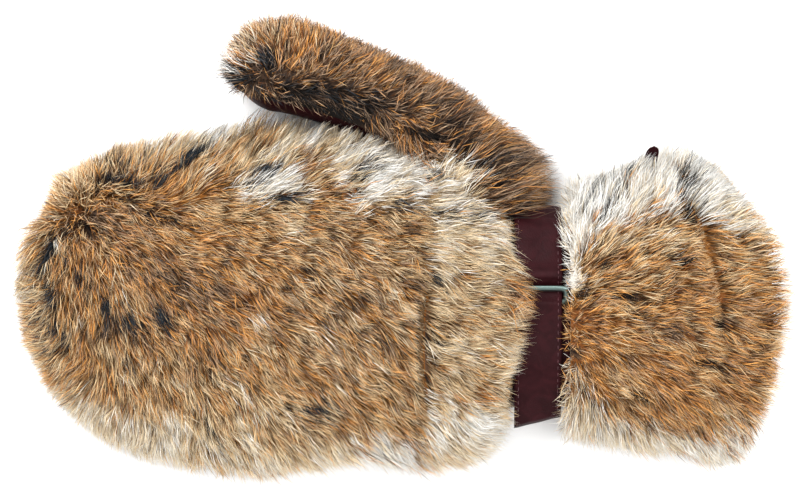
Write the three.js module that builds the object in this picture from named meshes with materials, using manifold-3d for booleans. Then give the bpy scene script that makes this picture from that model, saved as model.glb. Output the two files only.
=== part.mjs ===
// Left-hand fur mitten, lying palm down: fingers towards -X, cuff towards +X, thumb towards +Y.
// Units are millimetres, +Z is up, and the palm rests on Z = 0.

import * as THREE from 'three';
import { mergeVertices } from 'three/addons/utils/BufferGeometryUtils.js';
import Module from 'manifold-3d';

const wasm = await Module();
wasm.setup();

// Driving dimensions
const HIDE_THICKNESS = 1.8;
const LEATHER_THICKNESS = 2.0;
const SEAM_GAP = 0.3;
const FUR_BACKING_THICKNESS = 3;
const FLOOR_CLEARANCE = 0.8;

const HAND_END = 46.5;
const WAIST_START = 47;
const WAIST_END = 74;
const CUFF_START = 74.4;
const CROSS_SEAM_X = 8;
const HAIR_LEAN_AT_SEAM = 1.2;

const STRAP_WIDTH = 20.6;
const STRAP_THICKNESS = 2.2;
const STRAP_CENTRE_X = 60.4;
const RING_WIRE_RADIUS = 1.3;
const RING_FRONT_BAR_Y = -17.4;
const RING_BACK_BAR_Y = -23.6;

// Sections. A section is a rounded arch over a flat sole: its widest point is at the seam height.
const ARCH_POWER = 0.85;
const SOLE_POWER = 1.1;
const SOLE_REACH = 1.25;
const TIP_SOLE_REACH = 1.4;

// Each form is a table of stations, and round gives the length of its rounded tip. The tip's plan is
// a quarter of a superellipse: the higher its two powers, the squarer the tip.
// Columns: at (mm along), x, y (centre), half (half width), high (height), seam (seam height)
const hand = {
  round: 48,
  tipPowers: [2.8, 2.3],
  rows: [
    { at: -158, x: -158, y: -18, half: 53, high: 33, seam: 12 },
    { at: -120, x: -120, y: -21, half: 57, high: 38, seam: 12 },
    { at: -90, x: -90, y: -23, half: 63, high: 42, seam: 12 },
    { at: -60, x: -60, y: -23, half: 67, high: 45, seam: 12 },
    { at: -30, x: -30, y: -22, half: 66, high: 48, seam: 13 },
    { at: 0, x: 0, y: -23, half: 64, high: 49, seam: 13 },
    { at: 25, x: 25, y: -26, half: 59, high: 46, seam: 13 },
    { at: 47, x: 47, y: -28, half: 45, high: 42, seam: 14 },
  ],
};
const thumb = {
  round: 17,
  tipPowers: [2, 2],
  followsSpine: true,
  rows: [
    { at: 0, x: -72, y: 78, half: 17, high: 29, seam: 12 },
    { at: 22, x: -50, y: 78, half: 18, high: 31, seam: 12 },
    { at: 48, x: -25, y: 70.5, half: 17.5, high: 32, seam: 12 },
    { at: 75, x: 0, y: 59.5, half: 16.5, high: 33, seam: 12 },
    { at: 96, x: 17, y: 48, half: 16.5, high: 34, seam: 12 },
    { at: 114, x: 29, y: 34, half: 16.5, high: 36, seam: 13 },
    { at: 129, x: 32, y: 20, half: 16.5, high: 36, seam: 13 },
    { at: 144, x: 32, y: 5, half: 16.5, high: 36, seam: 13 },
  ],
};
const waist = {
  rows: [
    { at: 47, x: 47, y: -28, half: 42, high: 41.5, seam: 14 },
    { at: 60, x: 60, y: -28, half: 40.5, high: 40.5, seam: 14 },
    { at: 74, x: 74, y: -28, half: 42, high: 41.5, seam: 14 },
  ],
};
const cuff = {
  rows: [
    { at: 74, x: 74, y: -27, half: 45, high: 43.5, seam: 14 },
    { at: 86, x: 86, y: -27, half: 50, high: 49, seam: 14 },
    { at: 105, x: 105, y: -26, half: 54, high: 53, seam: 15 },
    { at: 125, x: 125, y: -25, half: 58, high: 55, seam: 15 },
    { at: 142, x: 142, y: -27, half: 59, high: 55, seam: 15 },
    { at: 162, x: 162, y: -29, half: 57, high: 54, seam: 15 },
  ],
};

// Vertices closer than this are one vertex
const MERGE_DISTANCE = 1e-4;

// Smooth interpolation of every column of a table at a station
function readTable(rows, at) {
  const last = rows.length - 1;
  let index = 0;
  while (index < last - 1 && at > rows[index + 1].at) {
    index += 1;
  }
  const from = rows[index];
  const to = rows[index + 1];
  const before = rows[Math.max(index - 1, 0)];
  const after = rows[Math.min(index + 2, last)];
  const span = to.at - from.at;
  const t = (at - from.at) / span;
  const result = {};
  for (const key of Object.keys(from)) {
    const slopeFrom = span * (to[key] - before[key]) / (to.at - before.at);
    const slopeTo = span * (after[key] - from[key]) / (after.at - from.at);
    if (t < 0) {
      result[key] = from[key] + slopeFrom * t;
    } else if (t > 1) {
      result[key] = to[key] + slopeTo * (t - 1);
    } else {
      const t2 = t * t;
      const t3 = t2 * t;
      result[key] = (2 * t3 - 3 * t2 + 1) * from[key] + (t3 - 2 * t2 + t) * slopeFrom
        + (3 * t2 - 2 * t3) * to[key] + (t3 - t2) * slopeTo;
    }
  }
  return result;
}

// The direction along a form at a station, as a level unit vector
function alongDirection(form, at) {
  if (!form.followsSpine) {
    return new THREE.Vector3(1, 0, 0);
  }
  const ahead = readTable(form.rows, at + 1);
  const behind = readTable(form.rows, at - 1);
  return new THREE.Vector3(ahead.x - behind.x, ahead.y - behind.y, 0).normalize();
}

function signedPower(value, power) {
  const size = Math.abs(value);
  return size < 1e-9 ? 0 : Math.sign(value) * size ** power;
}

// A point of a form: at along it, angle around it (0 thumb side, 90 degrees on top), grow outwards
function formPoint(form, at, angle, grow) {
  const start = form.rows[0].at;
  const clamped = Math.max(at, start);
  const row = readTable(form.rows, clamped);
  const direction = alongDirection(form, clamped);
  let ending = 1;
  if (form.round && at < start + form.round) {
    const reach = (start + form.round - at) / (form.round + grow);
    const [reachPower, endPower] = form.tipPowers;
    ending = Math.max(0, 1 - reach ** reachPower) ** (1 / endPower);
  }
  const side = (row.half + grow) * ending * signedPower(Math.cos(angle), ARCH_POWER);
  const sine = Math.sin(angle);
  const low = -grow;
  const sole = Math.min(1, SOLE_REACH * Math.abs(sine) ** SOLE_POWER);
  const rise = sine >= 0
    ? (row.high + grow - row.seam) * ending * sine ** ARCH_POWER
    : -(row.seam - low) * Math.min(1, TIP_SOLE_REACH * ending) * sole;
  const overrun = at - clamped;
  return new THREE.Vector3(
    row.x + direction.x * overrun - direction.y * side,
    row.y + direction.y * overrun + direction.x * side,
    row.seam + rise,
  );
}

// The outward direction of a form's surface
function formNormal(form, at, angle, grow) {
  const alongStep = 1;
  const angleStep = 0.02;
  const here = formPoint(form, at, angle, grow);
  const along = formPoint(form, at + alongStep, angle, grow).sub(here);
  const around = formPoint(form, at, angle + angleStep, grow).sub(here);
  return around.cross(along).normalize();
}

// Moves each vertex of a three.js shape with place, keeps its faces and drops those that vanish
function reshape(geometry, place) {
  const bare = geometry.clone();
  bare.deleteAttribute('normal');
  bare.deleteAttribute('uv');
  const position = bare.attributes.position;
  const vertex = new THREE.Vector3();
  for (let i = 0; i < position.count; i += 1) {
    vertex.fromBufferAttribute(position, i);
    const placed = place(vertex);
    position.setXYZ(i, placed.x, placed.y, placed.z);
  }
  const merged = mergeVertices(bare, MERGE_DISTANCE);
  const index = merged.index.array;
  const kept = [];
  for (let i = 0; i < index.length; i += 3) {
    const [a, b, c] = [index[i], index[i + 1], index[i + 2]];
    if (a !== b && b !== c && c !== a) {
      kept.push(a, b, c);
    }
  }
  merged.setIndex(kept);
  return merged;
}

function toSolid(geometry) {
  const bare = geometry.clone();
  bare.deleteAttribute('normal');
  bare.deleteAttribute('uv');
  const merged = mergeVertices(bare, MERGE_DISTANCE);
  return new wasm.Manifold(new wasm.Mesh({
    numProp: 3,
    vertProperties: new Float32Array(merged.attributes.position.array),
    triVerts: new Uint32Array(merged.index.array),
  }));
}

function toGeometry(solid) {
  const result = solid.getMesh();
  const geometry = new THREE.BufferGeometry();
  geometry.setAttribute('position', new THREE.Float32BufferAttribute(result.vertProperties, 3));
  geometry.setIndex(Array.from(result.triVerts));
  geometry.computeVertexNormals();
  return geometry;
}

// The station of a step along a form. The steps of a rounded tip are evenly spaced by turn.
function stationOf(form, step, { depth, from, to, alongSteps, tipSteps }) {
  if (tipSteps === 0) {
    return THREE.MathUtils.lerp(from, to, step / alongSteps);
  }
  const start = form.rows[0].at;
  if (step <= tipSteps) {
    const turn = (step / tipSteps) * Math.PI / 2;
    return start - depth + (form.round + depth) * (1 - Math.cos(turn));
  }
  return THREE.MathUtils.lerp(start + form.round, to, (step - tipSteps) / (alongSteps - tipSteps));
}

// A closed patch of a form: range of angles, range of depths and, at each angle, of stations
function patch(form, { angles, depths, from, to, alongSteps, aroundSteps, tipSteps = 0 }) {
  const block = new THREE.BoxGeometry(1, 1, 1, alongSteps, 1, aroundSteps);
  return reshape(block, (corner) => {
    const angle = THREE.MathUtils.lerp(angles[0], angles[1], corner.z + 0.5);
    const depth = corner.y < 0 ? depths[0] : depths[1];
    const station = stationOf(form, (corner.x + 0.5) * alongSteps, {
      depth, from: from(angle, depth), to: to(angle, depth), alongSteps, tipSteps,
    });
    return formPoint(form, station, angle, depth);
  });
}

// The whole inside or outside of a form as one closed block, for cutting
function core(form, { grow, from, to, alongSteps, aroundSteps, tipSteps = 0 }) {
  const tube = new THREE.CylinderGeometry(1, 1, 1, aroundSteps, alongSteps);
  return toSolid(reshape(tube, (corner) => {
    const angle = Math.atan2(corner.x, corner.z);
    const station = stationOf(form, (corner.y + 0.5) * alongSteps, {
      depth: grow, from, to, alongSteps, tipSteps,
    });
    if (Math.hypot(corner.x, corner.z) > 0.5) {
      return formPoint(form, station, angle, grow);
    }
    const top = formPoint(form, station, Math.PI / 2, grow);
    const bottom = formPoint(form, station, -Math.PI / 2, grow);
    return top.add(bottom).multiplyScalar(0.5);
  }));
}

// A seeded random number from 0 to 1, so that the fur is the same each time
function seededRandom(seed) {
  let state = seed;
  return () => {
    state = (state * 1664525 + 1013904223) % 4294967296;
    return state / 4294967296;
  };
}

// A strip of leather of even thickness across the wrist, along a path of y and z values
function strip(path, { width, thickness, steps }) {
  const route = new THREE.CatmullRomCurve3(path.map(({ y, z }) => new THREE.Vector3(0, y, z)));
  const block = new THREE.BoxGeometry(1, 1, 1, 1, 1, steps);
  return toSolid(reshape(block, (corner) => {
    const share = corner.z + 0.5;
    const point = route.getPointAt(share);
    const tangent = route.getTangentAt(share);
    point.y += tangent.z * corner.y * thickness;
    point.z -= tangent.y * corner.y * thickness;
    point.x = STRAP_CENTRE_X + corner.x * width;
    return point;
  }));
}

// Fur locks: three-sided tapered tufts, rooted in the backing, that lean with the hair
const LOCK_SIDES = 3;
const LOCK_RINGS = 2;
const LOCK_BEND = 1.35;
const LOCK_FULLNESS = 2.2;
const LOCK_SCALES = [0.85, 1.15];
const TIP_REACH_SHARE = 0.5;
const LOCK_ANGLE_SHIFT = 0.3;
const LOCK_ALONG_SHIFT = 0.5;
const LOCK_END_MARGIN = 3;
const LOCK_SIDE_MARGIN = 0.04;
const ARC_SAMPLES = 12;

function lock(root, normal, flow, size) {
  const cone = new THREE.ConeGeometry(1, 1, LOCK_SIDES, LOCK_RINGS);
  const across = new THREE.Vector3().crossVectors(normal, flow).normalize();
  const under = flow.clone().sub(normal).normalize();
  return toSolid(reshape(cone, (corner) => {
    const up = corner.y + 0.5;
    const middle = up > 0;
    const fullness = middle ? LOCK_FULLNESS : 1;
    const point = root.clone();
    point.addScaledVector(normal, size.height * (1 - (1 - up) ** 2));
    point.addScaledVector(flow, size.reach * up ** LOCK_BEND);
    point.addScaledVector(across, -corner.x * size.width * fullness);
    point.addScaledVector(middle ? under : flow, -corner.z * size.depth * fullness);
    point.z = Math.max(point.z, FLOOR_CLEARANCE);
    return point;
  }));
}

// Whether a point lies inside a form grown outwards, tested in slices along it
function isInside(form, point, grow) {
  const rows = form.rows;
  const first = rows[0].at - grow;
  const last = rows[rows.length - 1].at;
  const slice = 4;
  const halfSlice = 3;
  for (let at = first; at <= last; at += slice) {
    const row = readTable(rows, Math.max(at, rows[0].at));
    const direction = alongDirection(form, at);
    const dx = point.x - row.x;
    const dy = point.y - row.y;
    const along = dx * direction.x + dy * direction.y;
    const side = dy * direction.x - dx * direction.y;
    const rise = (point.z - row.seam) / (row.high + grow - row.seam);
    const spread = side / (row.half + grow);
    if (Math.abs(along) < halfSlice && spread * spread + Math.max(0, rise) ** 2 < 1) {
      return true;
    }
  }
  return false;
}

// Rows of locks over a form, each row spaced along it and around it by the same distance
function locksOver(form, { from, to, angles, spacing, size, flow, seed, keep }) {
  const random = seededRandom(seed);
  const locks = [];
  let row = 0;
  const root = FUR_GAP + FUR_BACKING_THICKNESS / 2;
  const start = form.rows[0].at;
  const tipLength = form.round ? form.round * Math.PI / 2 : 0;
  for (let run = spacing / 2; run < tipLength + to(Math.PI / 2) - from; run += spacing) {
    const onTip = run < tipLength;
    const at = onTip
      ? start + form.round * (1 - Math.cos(run / form.round))
      : from + (form.round ?? 0) + run - tipLength;
    if (at > to(Math.PI / 2)) {
      break;
    }
    let arc = 0;
    for (let i = 0; i < ARC_SAMPLES; i += 1) {
      const a = THREE.MathUtils.lerp(angles[0], angles[1], i / ARC_SAMPLES);
      const b = THREE.MathUtils.lerp(angles[0], angles[1], (i + 1) / ARC_SAMPLES);
      arc += formPoint(form, at, a, root).distanceTo(formPoint(form, at, b, root));
    }
    const count = Math.max(2, Math.round(arc / spacing));
    const stagger = row % 2 ? 0.75 : 0.25;
    row += 1;
    for (let i = 0; i < count; i += 1) {
      const place = (i + stagger + LOCK_ANGLE_SHIFT * (random() - 0.5)) / count;
      const angle = THREE.MathUtils.lerp(angles[0], angles[1], place);
      const station = at + spacing * LOCK_ALONG_SHIFT * (random() - 0.5);
      const scale = THREE.MathUtils.lerp(...LOCK_SCALES, random());
      const share = THREE.MathUtils.smoothstep(station, start, start + (form.round ?? 0));
      const reach = size.reach * scale * THREE.MathUtils.lerp(TIP_REACH_SHARE, 1, share);
      if (station > to(angle) - LOCK_END_MARGIN) {
        continue;
      }
      const point = formPoint(form, station, angle, root);
      const normal = formNormal(form, station, angle, root);
      const lean = flow(station, angle);
      lean.addScaledVector(normal, -lean.dot(normal)).normalize();
      const tip = point.clone().addScaledVector(normal, size.height * scale)
        .addScaledVector(lean, reach);
      if (keep && !(keep(point) && keep(tip))) {
        continue;
      }
      locks.push(lock(point, normal, lean, {
        height: size.height * scale,
        reach,
        width: size.width,
        depth: size.depth,
      }));
    }
  }
  return locks;
}

const MATERIALS = {
  leather: new THREE.MeshStandardMaterial({ color: 0x3a1a20, roughness: 0.55, metalness: 0 }),
  tawnyFur: new THREE.MeshStandardMaterial({ color: 0xa87b52, roughness: 0.9, metalness: 0 }),
  brownFur: new THREE.MeshStandardMaterial({ color: 0x6b4a33, roughness: 0.9, metalness: 0 }),
  paleFur: new THREE.MeshStandardMaterial({ color: 0xb89a78, roughness: 0.9, metalness: 0 }),
  hide: new THREE.MeshStandardMaterial({ color: 0xcbb89c, roughness: 0.85, metalness: 0 }),
  steel: new THREE.MeshStandardMaterial({ color: 0x8c9496, roughness: 0.3, metalness: 1 }),
};

// The origin is the centre of the mitten's box, at the level of the surface that it lies on
const BOX_CENTRE = { x: 2, y: 0.3 };
const mitten = new THREE.Group();
mitten.position.set(-BOX_CENTRE.x, -BOX_CENTRE.y, 0);

function addPiece(name, solid, material) {
  const mesh = new THREE.Mesh(toGeometry(solid), MATERIALS[material]);
  mesh.name = name;
  mitten.add(mesh);
}

// Seams: where the hide ends and the leather begins, as angles round a form
const SEAM_ANGLE_GAP = 0.006;
const UPPER = [SEAM_ANGLE_GAP, Math.PI - SEAM_ANGLE_GAP];
const LOWER = [Math.PI + SEAM_ANGLE_GAP, 2 * Math.PI - SEAM_ANGLE_GAP];
const AROUND_STEPS = 20;
const HALF_STEPS = AROUND_STEPS / 2;
const THUMB_FUR_STEPS = 8;
const THUMB_FUR_FROM = -2 * Math.PI / AROUND_STEPS;
const THUMB_FUR_TO = THUMB_FUR_FROM + THUMB_FUR_STEPS * 2 * Math.PI / AROUND_STEPS;
const FUR_GAP = 0.6;
const FUR_DEPTHS = [FUR_GAP, FUR_GAP + FUR_BACKING_THICKNESS];
const FUR_CLEAR = FUR_GAP + FUR_BACKING_THICKNESS + 0.35;
const HAND_CLEAR = 0.7;
const WAIST_CLEAR = 0.4;

// The cuff's mouth is rounded in plan, and so is the seam between its two pelts
const CUFF_MOUTH_X = 162;
const CUFF_MOUTH_ROUND = 16;
const CUFF_MOUTH_THUMB_ROUND = 22;
const BAND_SEAM_X = 136;
const BAND_SEAM_Y = -30;
const BAND_SEAM_ROUND = 24 / 69 ** 2;

function cuffMouth(angle) {
  const round = Math.cos(angle) > 0 ? CUFF_MOUTH_THUMB_ROUND : CUFF_MOUTH_ROUND;
  return CUFF_MOUTH_X - round * Math.cos(angle) ** 2;
}

function bandSeam(y) {
  return BAND_SEAM_X - BAND_SEAM_ROUND * (y - BAND_SEAM_Y) ** 2;
}

// Blocks that cut and clear, in the same steps as the walls that they cut
const handStart = hand.rows[0].at;
const thumbStart = thumb.rows[0].at;
const thumbEnd = thumb.rows[thumb.rows.length - 1].at;
const HAND_STEPS = { alongSteps: 14, tipSteps: 5 };
const THUMB_STEPS = { alongSteps: 12, tipSteps: 4 };
const handBlock = { from: handStart, to: HAND_END + 0.1, aroundSteps: AROUND_STEPS, ...HAND_STEPS };
const thumbBlock = { from: thumbStart, to: thumbEnd, aroundSteps: AROUND_STEPS, ...THUMB_STEPS };
const waistBlock = { alongSteps: 3, aroundSteps: AROUND_STEPS };
const waistClear = core(waist, { grow: WAIST_CLEAR, from: HAND_END, to: WAIST_END + 6, ...waistBlock });
const thumbHollow = core(thumb, { grow: -LEATHER_THICKNESS, ...thumbBlock });
const thumbClear = core(thumb, { grow: FUR_CLEAR, ...thumbBlock });
const handClear = core(hand, { grow: HAND_CLEAR, ...handBlock });
const handFurClear = core(hand, { grow: FUR_CLEAR, ...handBlock });

// Hand: palm leather below the side seam, hide above it
const handWall = { from: () => handStart, to: () => HAND_END, ...HAND_STEPS };
const palmLeather = toSolid(patch(hand, {
  ...handWall, angles: LOWER, depths: [-LEATHER_THICKNESS, 0], aroundSteps: HALF_STEPS,
})).subtract(thumbHollow);
addPiece('palm_leather', palmLeather, 'leather');

const handHide = toSolid(patch(hand, {
  ...handWall, angles: UPPER, depths: [-HIDE_THICKNESS, 0], aroundSteps: HALF_STEPS,
})).subtract(thumbHollow);
addPiece('hand_hide', handHide, 'hide');

// Thumb: leather on the side towards the hand, hide on the outer side
const thumbWall = { from: () => thumbStart, to: () => thumbEnd, ...THUMB_STEPS };
const thumbLeather = toSolid(patch(thumb, {
  ...thumbWall,
  angles: [THUMB_FUR_TO + SEAM_ANGLE_GAP, THUMB_FUR_FROM + 2 * Math.PI - 3 * SEAM_ANGLE_GAP],
  depths: [-LEATHER_THICKNESS, 0],
  aroundSteps: AROUND_STEPS - THUMB_FUR_STEPS,
})).subtract(handClear).subtract(waistClear);
addPiece('thumb_leather', thumbLeather, 'leather');

const thumbHide = toSolid(patch(thumb, {
  ...thumbWall,
  angles: [THUMB_FUR_FROM, THUMB_FUR_TO - SEAM_ANGLE_GAP],
  depths: [-HIDE_THICKNESS, 0],
  aroundSteps: THUMB_FUR_STEPS,
})).subtract(handClear).subtract(waistClear);
addPiece('thumb_hide', thumbHide, 'hide');

// Wrist: one narrow band of leather
const wristBand = core(waist, {
  grow: 0, from: WAIST_START, to: WAIST_END, ...waistBlock,
}).subtract(core(waist, {
  grow: -LEATHER_THICKNESS, from: WAIST_START - 4, to: WAIST_END + 4, ...waistBlock,
}));
addPiece('wrist_band', wristBand, 'leather');

// Cuff: leather below the side seam, hide above it
const cuffWall = { from: () => CUFF_START, to: cuffMouth, alongSteps: 5 };
addPiece('cuff_leather', toSolid(patch(cuff, {
  ...cuffWall, angles: LOWER, depths: [-LEATHER_THICKNESS, 0], aroundSteps: HALF_STEPS,
})), 'leather');
addPiece('cuff_hide', toSolid(patch(cuff, {
  ...cuffWall, angles: UPPER, depths: [-HIDE_THICKNESS, 0], aroundSteps: HALF_STEPS,
})), 'hide');

// Wrist strap: leaves the thumb side in a loose loop, folds over the ring and lies across the wrist.
// Columns: y and z of the middle of its thickness
const strapPath = [
  { y: 15.8, z: 12 },
  { y: 17.8, z: 20 },
  { y: 17.5, z: 29 },
  { y: 12.5, z: 36 },
  { y: 4, z: 40.2 },
  { y: -4, z: 43.0 },
  { y: -9, z: 46.2 },
  { y: -12.5, z: 46.8 },
  { y: -15.2, z: 45.1 },
  { y: -17.4, z: 43.5 },
  { y: -19.8, z: 44.1 },
  { y: RING_BACK_BAR_Y, z: 46.0 },
  { y: -28, z: 45.2 },
  { y: -36, z: 43.6 },
  { y: -44, z: 42.8 },
  { y: -52, z: 41.0 },
  { y: -60, z: 37.6 },
  { y: -68, z: 33 },
  { y: -76, z: 27.5 },
];
const STRAP_STEPS = 38;
addPiece('wrist_strap', strip(strapPath, {
  width: STRAP_WIDTH, thickness: STRAP_THICKNESS, steps: STRAP_STEPS,
}), 'leather');
const strapClear = strip(strapPath, {
  width: STRAP_WIDTH + 2 * SEAM_GAP, thickness: STRAP_THICKNESS + 2 * SEAM_GAP, steps: STRAP_STEPS,
});

// Ring: a rounded rectangle of wire, its front bar over the strap and its back bar under it
const RING_FRONT_BAR_Z = 46.6;
const RING_BACK_BAR_Z = 42.8;
const RING_SIDE_PLAY = 0.5;
const ringHalfWidth = STRAP_WIDTH / 2 + RING_SIDE_PLAY + RING_WIRE_RADIUS;
const ringHalfDepth = (RING_FRONT_BAR_Y - RING_BACK_BAR_Y) / 2;
const ringCentreY = (RING_FRONT_BAR_Y + RING_BACK_BAR_Y) / 2;
const ringCentreZ = (RING_FRONT_BAR_Z + RING_BACK_BAR_Z) / 2;
const RING_CORNER_POWER = 0.3;
const TORUS_WIRE = 0.1;
const ringShape = new THREE.TorusGeometry(1, TORUS_WIRE, 6, 20);
const ringTilt = (RING_FRONT_BAR_Z - RING_BACK_BAR_Z) / (2 * ringHalfDepth);
const ring = toSolid(reshape(ringShape, (corner) => {
  const turn = Math.atan2(corner.y, corner.x);
  const outwards = (Math.hypot(corner.x, corner.y) - 1) * RING_WIRE_RADIUS / TORUS_WIRE;
  const x = signedPower(Math.cos(turn), RING_CORNER_POWER) * (ringHalfWidth + outwards);
  const y = signedPower(Math.sin(turn), RING_CORNER_POWER) * (ringHalfDepth + outwards);
  const z = ringCentreZ + corner.z * RING_WIRE_RADIUS / TORUS_WIRE;
  return new THREE.Vector3(STRAP_CENTRE_X + x, ringCentreY + y, z + y * ringTilt);
}));
addPiece('strap_ring', ring, 'steel');
const RING_CLEAR_MARGIN = 3;
const RING_CLEAR_HEIGHT = 9;
const ringBox = new THREE.BoxGeometry(
  2 * ringHalfWidth + RING_CLEAR_MARGIN, 2 * ringHalfDepth + RING_CLEAR_MARGIN, RING_CLEAR_HEIGHT,
);
ringBox.translate(STRAP_CENTRE_X, ringCentreY, ringCentreZ);
const ringClear = toSolid(ringBox);

// The way the hair lies: towards the cuff and the little finger side, and outwards near the edges.
// Columns: turn and softness (where the hair parts at a tip), across, spread and drop (of a unit along)
const FLOWS = {
  hand: { turn: -138, softness: 16, across: -0.25, spread: 0.6, drop: 0.6 },
  thumb: { turn: 12, softness: 8, across: -0.3, spread: 0.6, drop: 0.5 },
  cuff: { turn: 0, softness: 8, across: 0, spread: 0.6, drop: 0.5 },
};

function flowOf(name) {
  const { turn, softness, across, spread, drop } = FLOWS[name];
  return (station, angle) => new THREE.Vector3(
    Math.tanh((station - turn) / softness),
    across + spread * Math.cos(angle),
    -drop * Math.cos(angle) ** 2,
  );
}

// All the space before a seam across a form. The seam's face leans with the hair.
const SEAM_BLOCK = { x: -400, y: [-150, 110], z: [-6, 90], ySteps: 24, zSteps: 8 };

function beforeSeam(form, station, seam, shift) {
  const row = readTable(form.rows, station);
  const block = new THREE.BoxGeometry(1, 1, 1, 1, SEAM_BLOCK.ySteps, SEAM_BLOCK.zSteps);
  const power = 2 / ARCH_POWER;
  return toSolid(reshape(block, (corner) => {
    const y = THREE.MathUtils.lerp(...SEAM_BLOCK.y, corner.y + 0.5);
    const z = THREE.MathUtils.lerp(...SEAM_BLOCK.z, corner.z + 0.5);
    if (corner.x < 0) {
      return new THREE.Vector3(SEAM_BLOCK.x, y, z);
    }
    const side = Math.abs(y - row.y) / row.half;
    const rise = Math.max(0, z - row.seam) / (row.high - row.seam);
    const depth = ((side ** power + rise ** power) ** (1 / power) - 1) * (row.high - row.seam);
    return new THREE.Vector3(seam(y) + shift + HAIR_LEAN_AT_SEAM * Math.max(0, depth), y, z);
  }));
}

function withLocks(backing, locks) {
  return locks.reduce((fur, tuft) => fur.add(tuft), toSolid(backing));
}

// A cut at a seam can leave the loose end of a lock: only the pelt itself is kept
function pelt(fur) {
  const parts = fur.decompose();
  return parts.reduce((largest, part) => (part.volume() > largest.volume() ? part : largest));
}

const HAND_LOCK = { height: 8.5, reach: 18, width: 5.6, depth: 2.0 };
const THUMB_LOCK = { height: 5.5, reach: 15, width: 4.8, depth: 1.8 };
const CUFF_LOCK = { height: 8.5, reach: 15, width: 5.6, depth: 2.0 };
const crossSeam = () => CROSS_SEAM_X;
const THUMB_ROOM = 8.5;
const HAND_ROOM = 3.5;
const clearOfThumb = (point) => !isInside(thumb, point, THUMB_ROOM);
const clearOfHand = (point) => !isInside(hand, point, HAND_ROOM);

const handBacking = patch(hand, {
  ...handWall, angles: UPPER, depths: FUR_DEPTHS, aroundSteps: HALF_STEPS,
});
const fingerFur = withLocks(handBacking, locksOver(hand, {
  from: handStart,
  to: () => CROSS_SEAM_X + 2,
  angles: [LOCK_SIDE_MARGIN, Math.PI - LOCK_SIDE_MARGIN],
  spacing: 16,
  size: HAND_LOCK,
  flow: flowOf('hand'),
  seed: 11,
  keep: clearOfThumb,
})).subtract(thumbClear).intersect(beforeSeam(hand, CROSS_SEAM_X, crossSeam, -SEAM_GAP / 2));
addPiece('finger_fur', pelt(fingerFur), 'tawnyFur');

const heelFur = withLocks(handBacking, locksOver({ ...hand, round: 0 }, {
  from: CROSS_SEAM_X - 3,
  to: () => HAND_END,
  angles: [LOCK_SIDE_MARGIN, Math.PI - LOCK_SIDE_MARGIN],
  spacing: 15,
  size: HAND_LOCK,
  flow: flowOf('hand'),
  seed: 23,
  keep: clearOfThumb,
})).subtract(beforeSeam(hand, CROSS_SEAM_X, crossSeam, SEAM_GAP / 2))
  .subtract(thumbClear).subtract(strapClear).subtract(ringClear);
addPiece('heel_fur', pelt(heelFur), 'paleFur');

const THUMB_FUR_END = 122;
const THUMB_SIDE_MARGIN = 0.1;
const thumbFur = withLocks(patch(thumb, {
  ...thumbWall,
  angles: [THUMB_FUR_FROM, THUMB_FUR_TO - SEAM_ANGLE_GAP],
  depths: FUR_DEPTHS,
  aroundSteps: THUMB_FUR_STEPS,
}), locksOver(thumb, {
  from: thumbStart,
  to: () => THUMB_FUR_END,
  angles: [THUMB_FUR_FROM + THUMB_SIDE_MARGIN, THUMB_FUR_TO - THUMB_SIDE_MARGIN],
  spacing: 13,
  size: THUMB_LOCK,
  flow: flowOf('thumb'),
  seed: 37,
  keep: clearOfHand,
})).subtract(handFurClear).subtract(waistClear).subtract(strapClear);
addPiece('thumb_fur', pelt(thumbFur), 'brownFur');

const cuffBacking = patch(cuff, {
  ...cuffWall, angles: UPPER, depths: FUR_DEPTHS, aroundSteps: HALF_STEPS,
});
const cuffFur = withLocks(cuffBacking, locksOver(cuff, {
  from: CUFF_START - 2,
  to: () => BAND_SEAM_X,
  angles: [LOCK_SIDE_MARGIN, Math.PI - LOCK_SIDE_MARGIN],
  spacing: 15.9,
  size: CUFF_LOCK,
  flow: flowOf('cuff'),
  seed: 41,
})).intersect(beforeSeam(cuff, BAND_SEAM_X, bandSeam, -SEAM_GAP / 2))
  .subtract(strapClear).subtract(ringClear);
addPiece('cuff_fur', pelt(cuffFur), 'paleFur');

const BAND_SEAM_DEPTH = 33;
const cuffBandFur = withLocks(cuffBacking, locksOver(cuff, {
  from: BAND_SEAM_X - BAND_SEAM_DEPTH,
  to: cuffMouth,
  angles: [LOCK_SIDE_MARGIN, Math.PI - LOCK_SIDE_MARGIN],
  spacing: 15.5,
  size: CUFF_LOCK,
  flow: flowOf('cuff'),
  seed: 53,
})).subtract(beforeSeam(cuff, BAND_SEAM_X, bandSeam, SEAM_GAP / 2));
addPiece('cuff_band_fur', pelt(cuffBandFur), 'tawnyFur');

export default mitten;
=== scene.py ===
import bmesh
import bpy
import numpy as np
from bpy.props import FloatProperty, FloatVectorProperty, IntProperty, PointerProperty
from bpy.types import Operator, Panel, PropertyGroup
from mathutils import Matrix, Vector
from mathutils.kdtree import KDTree


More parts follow.
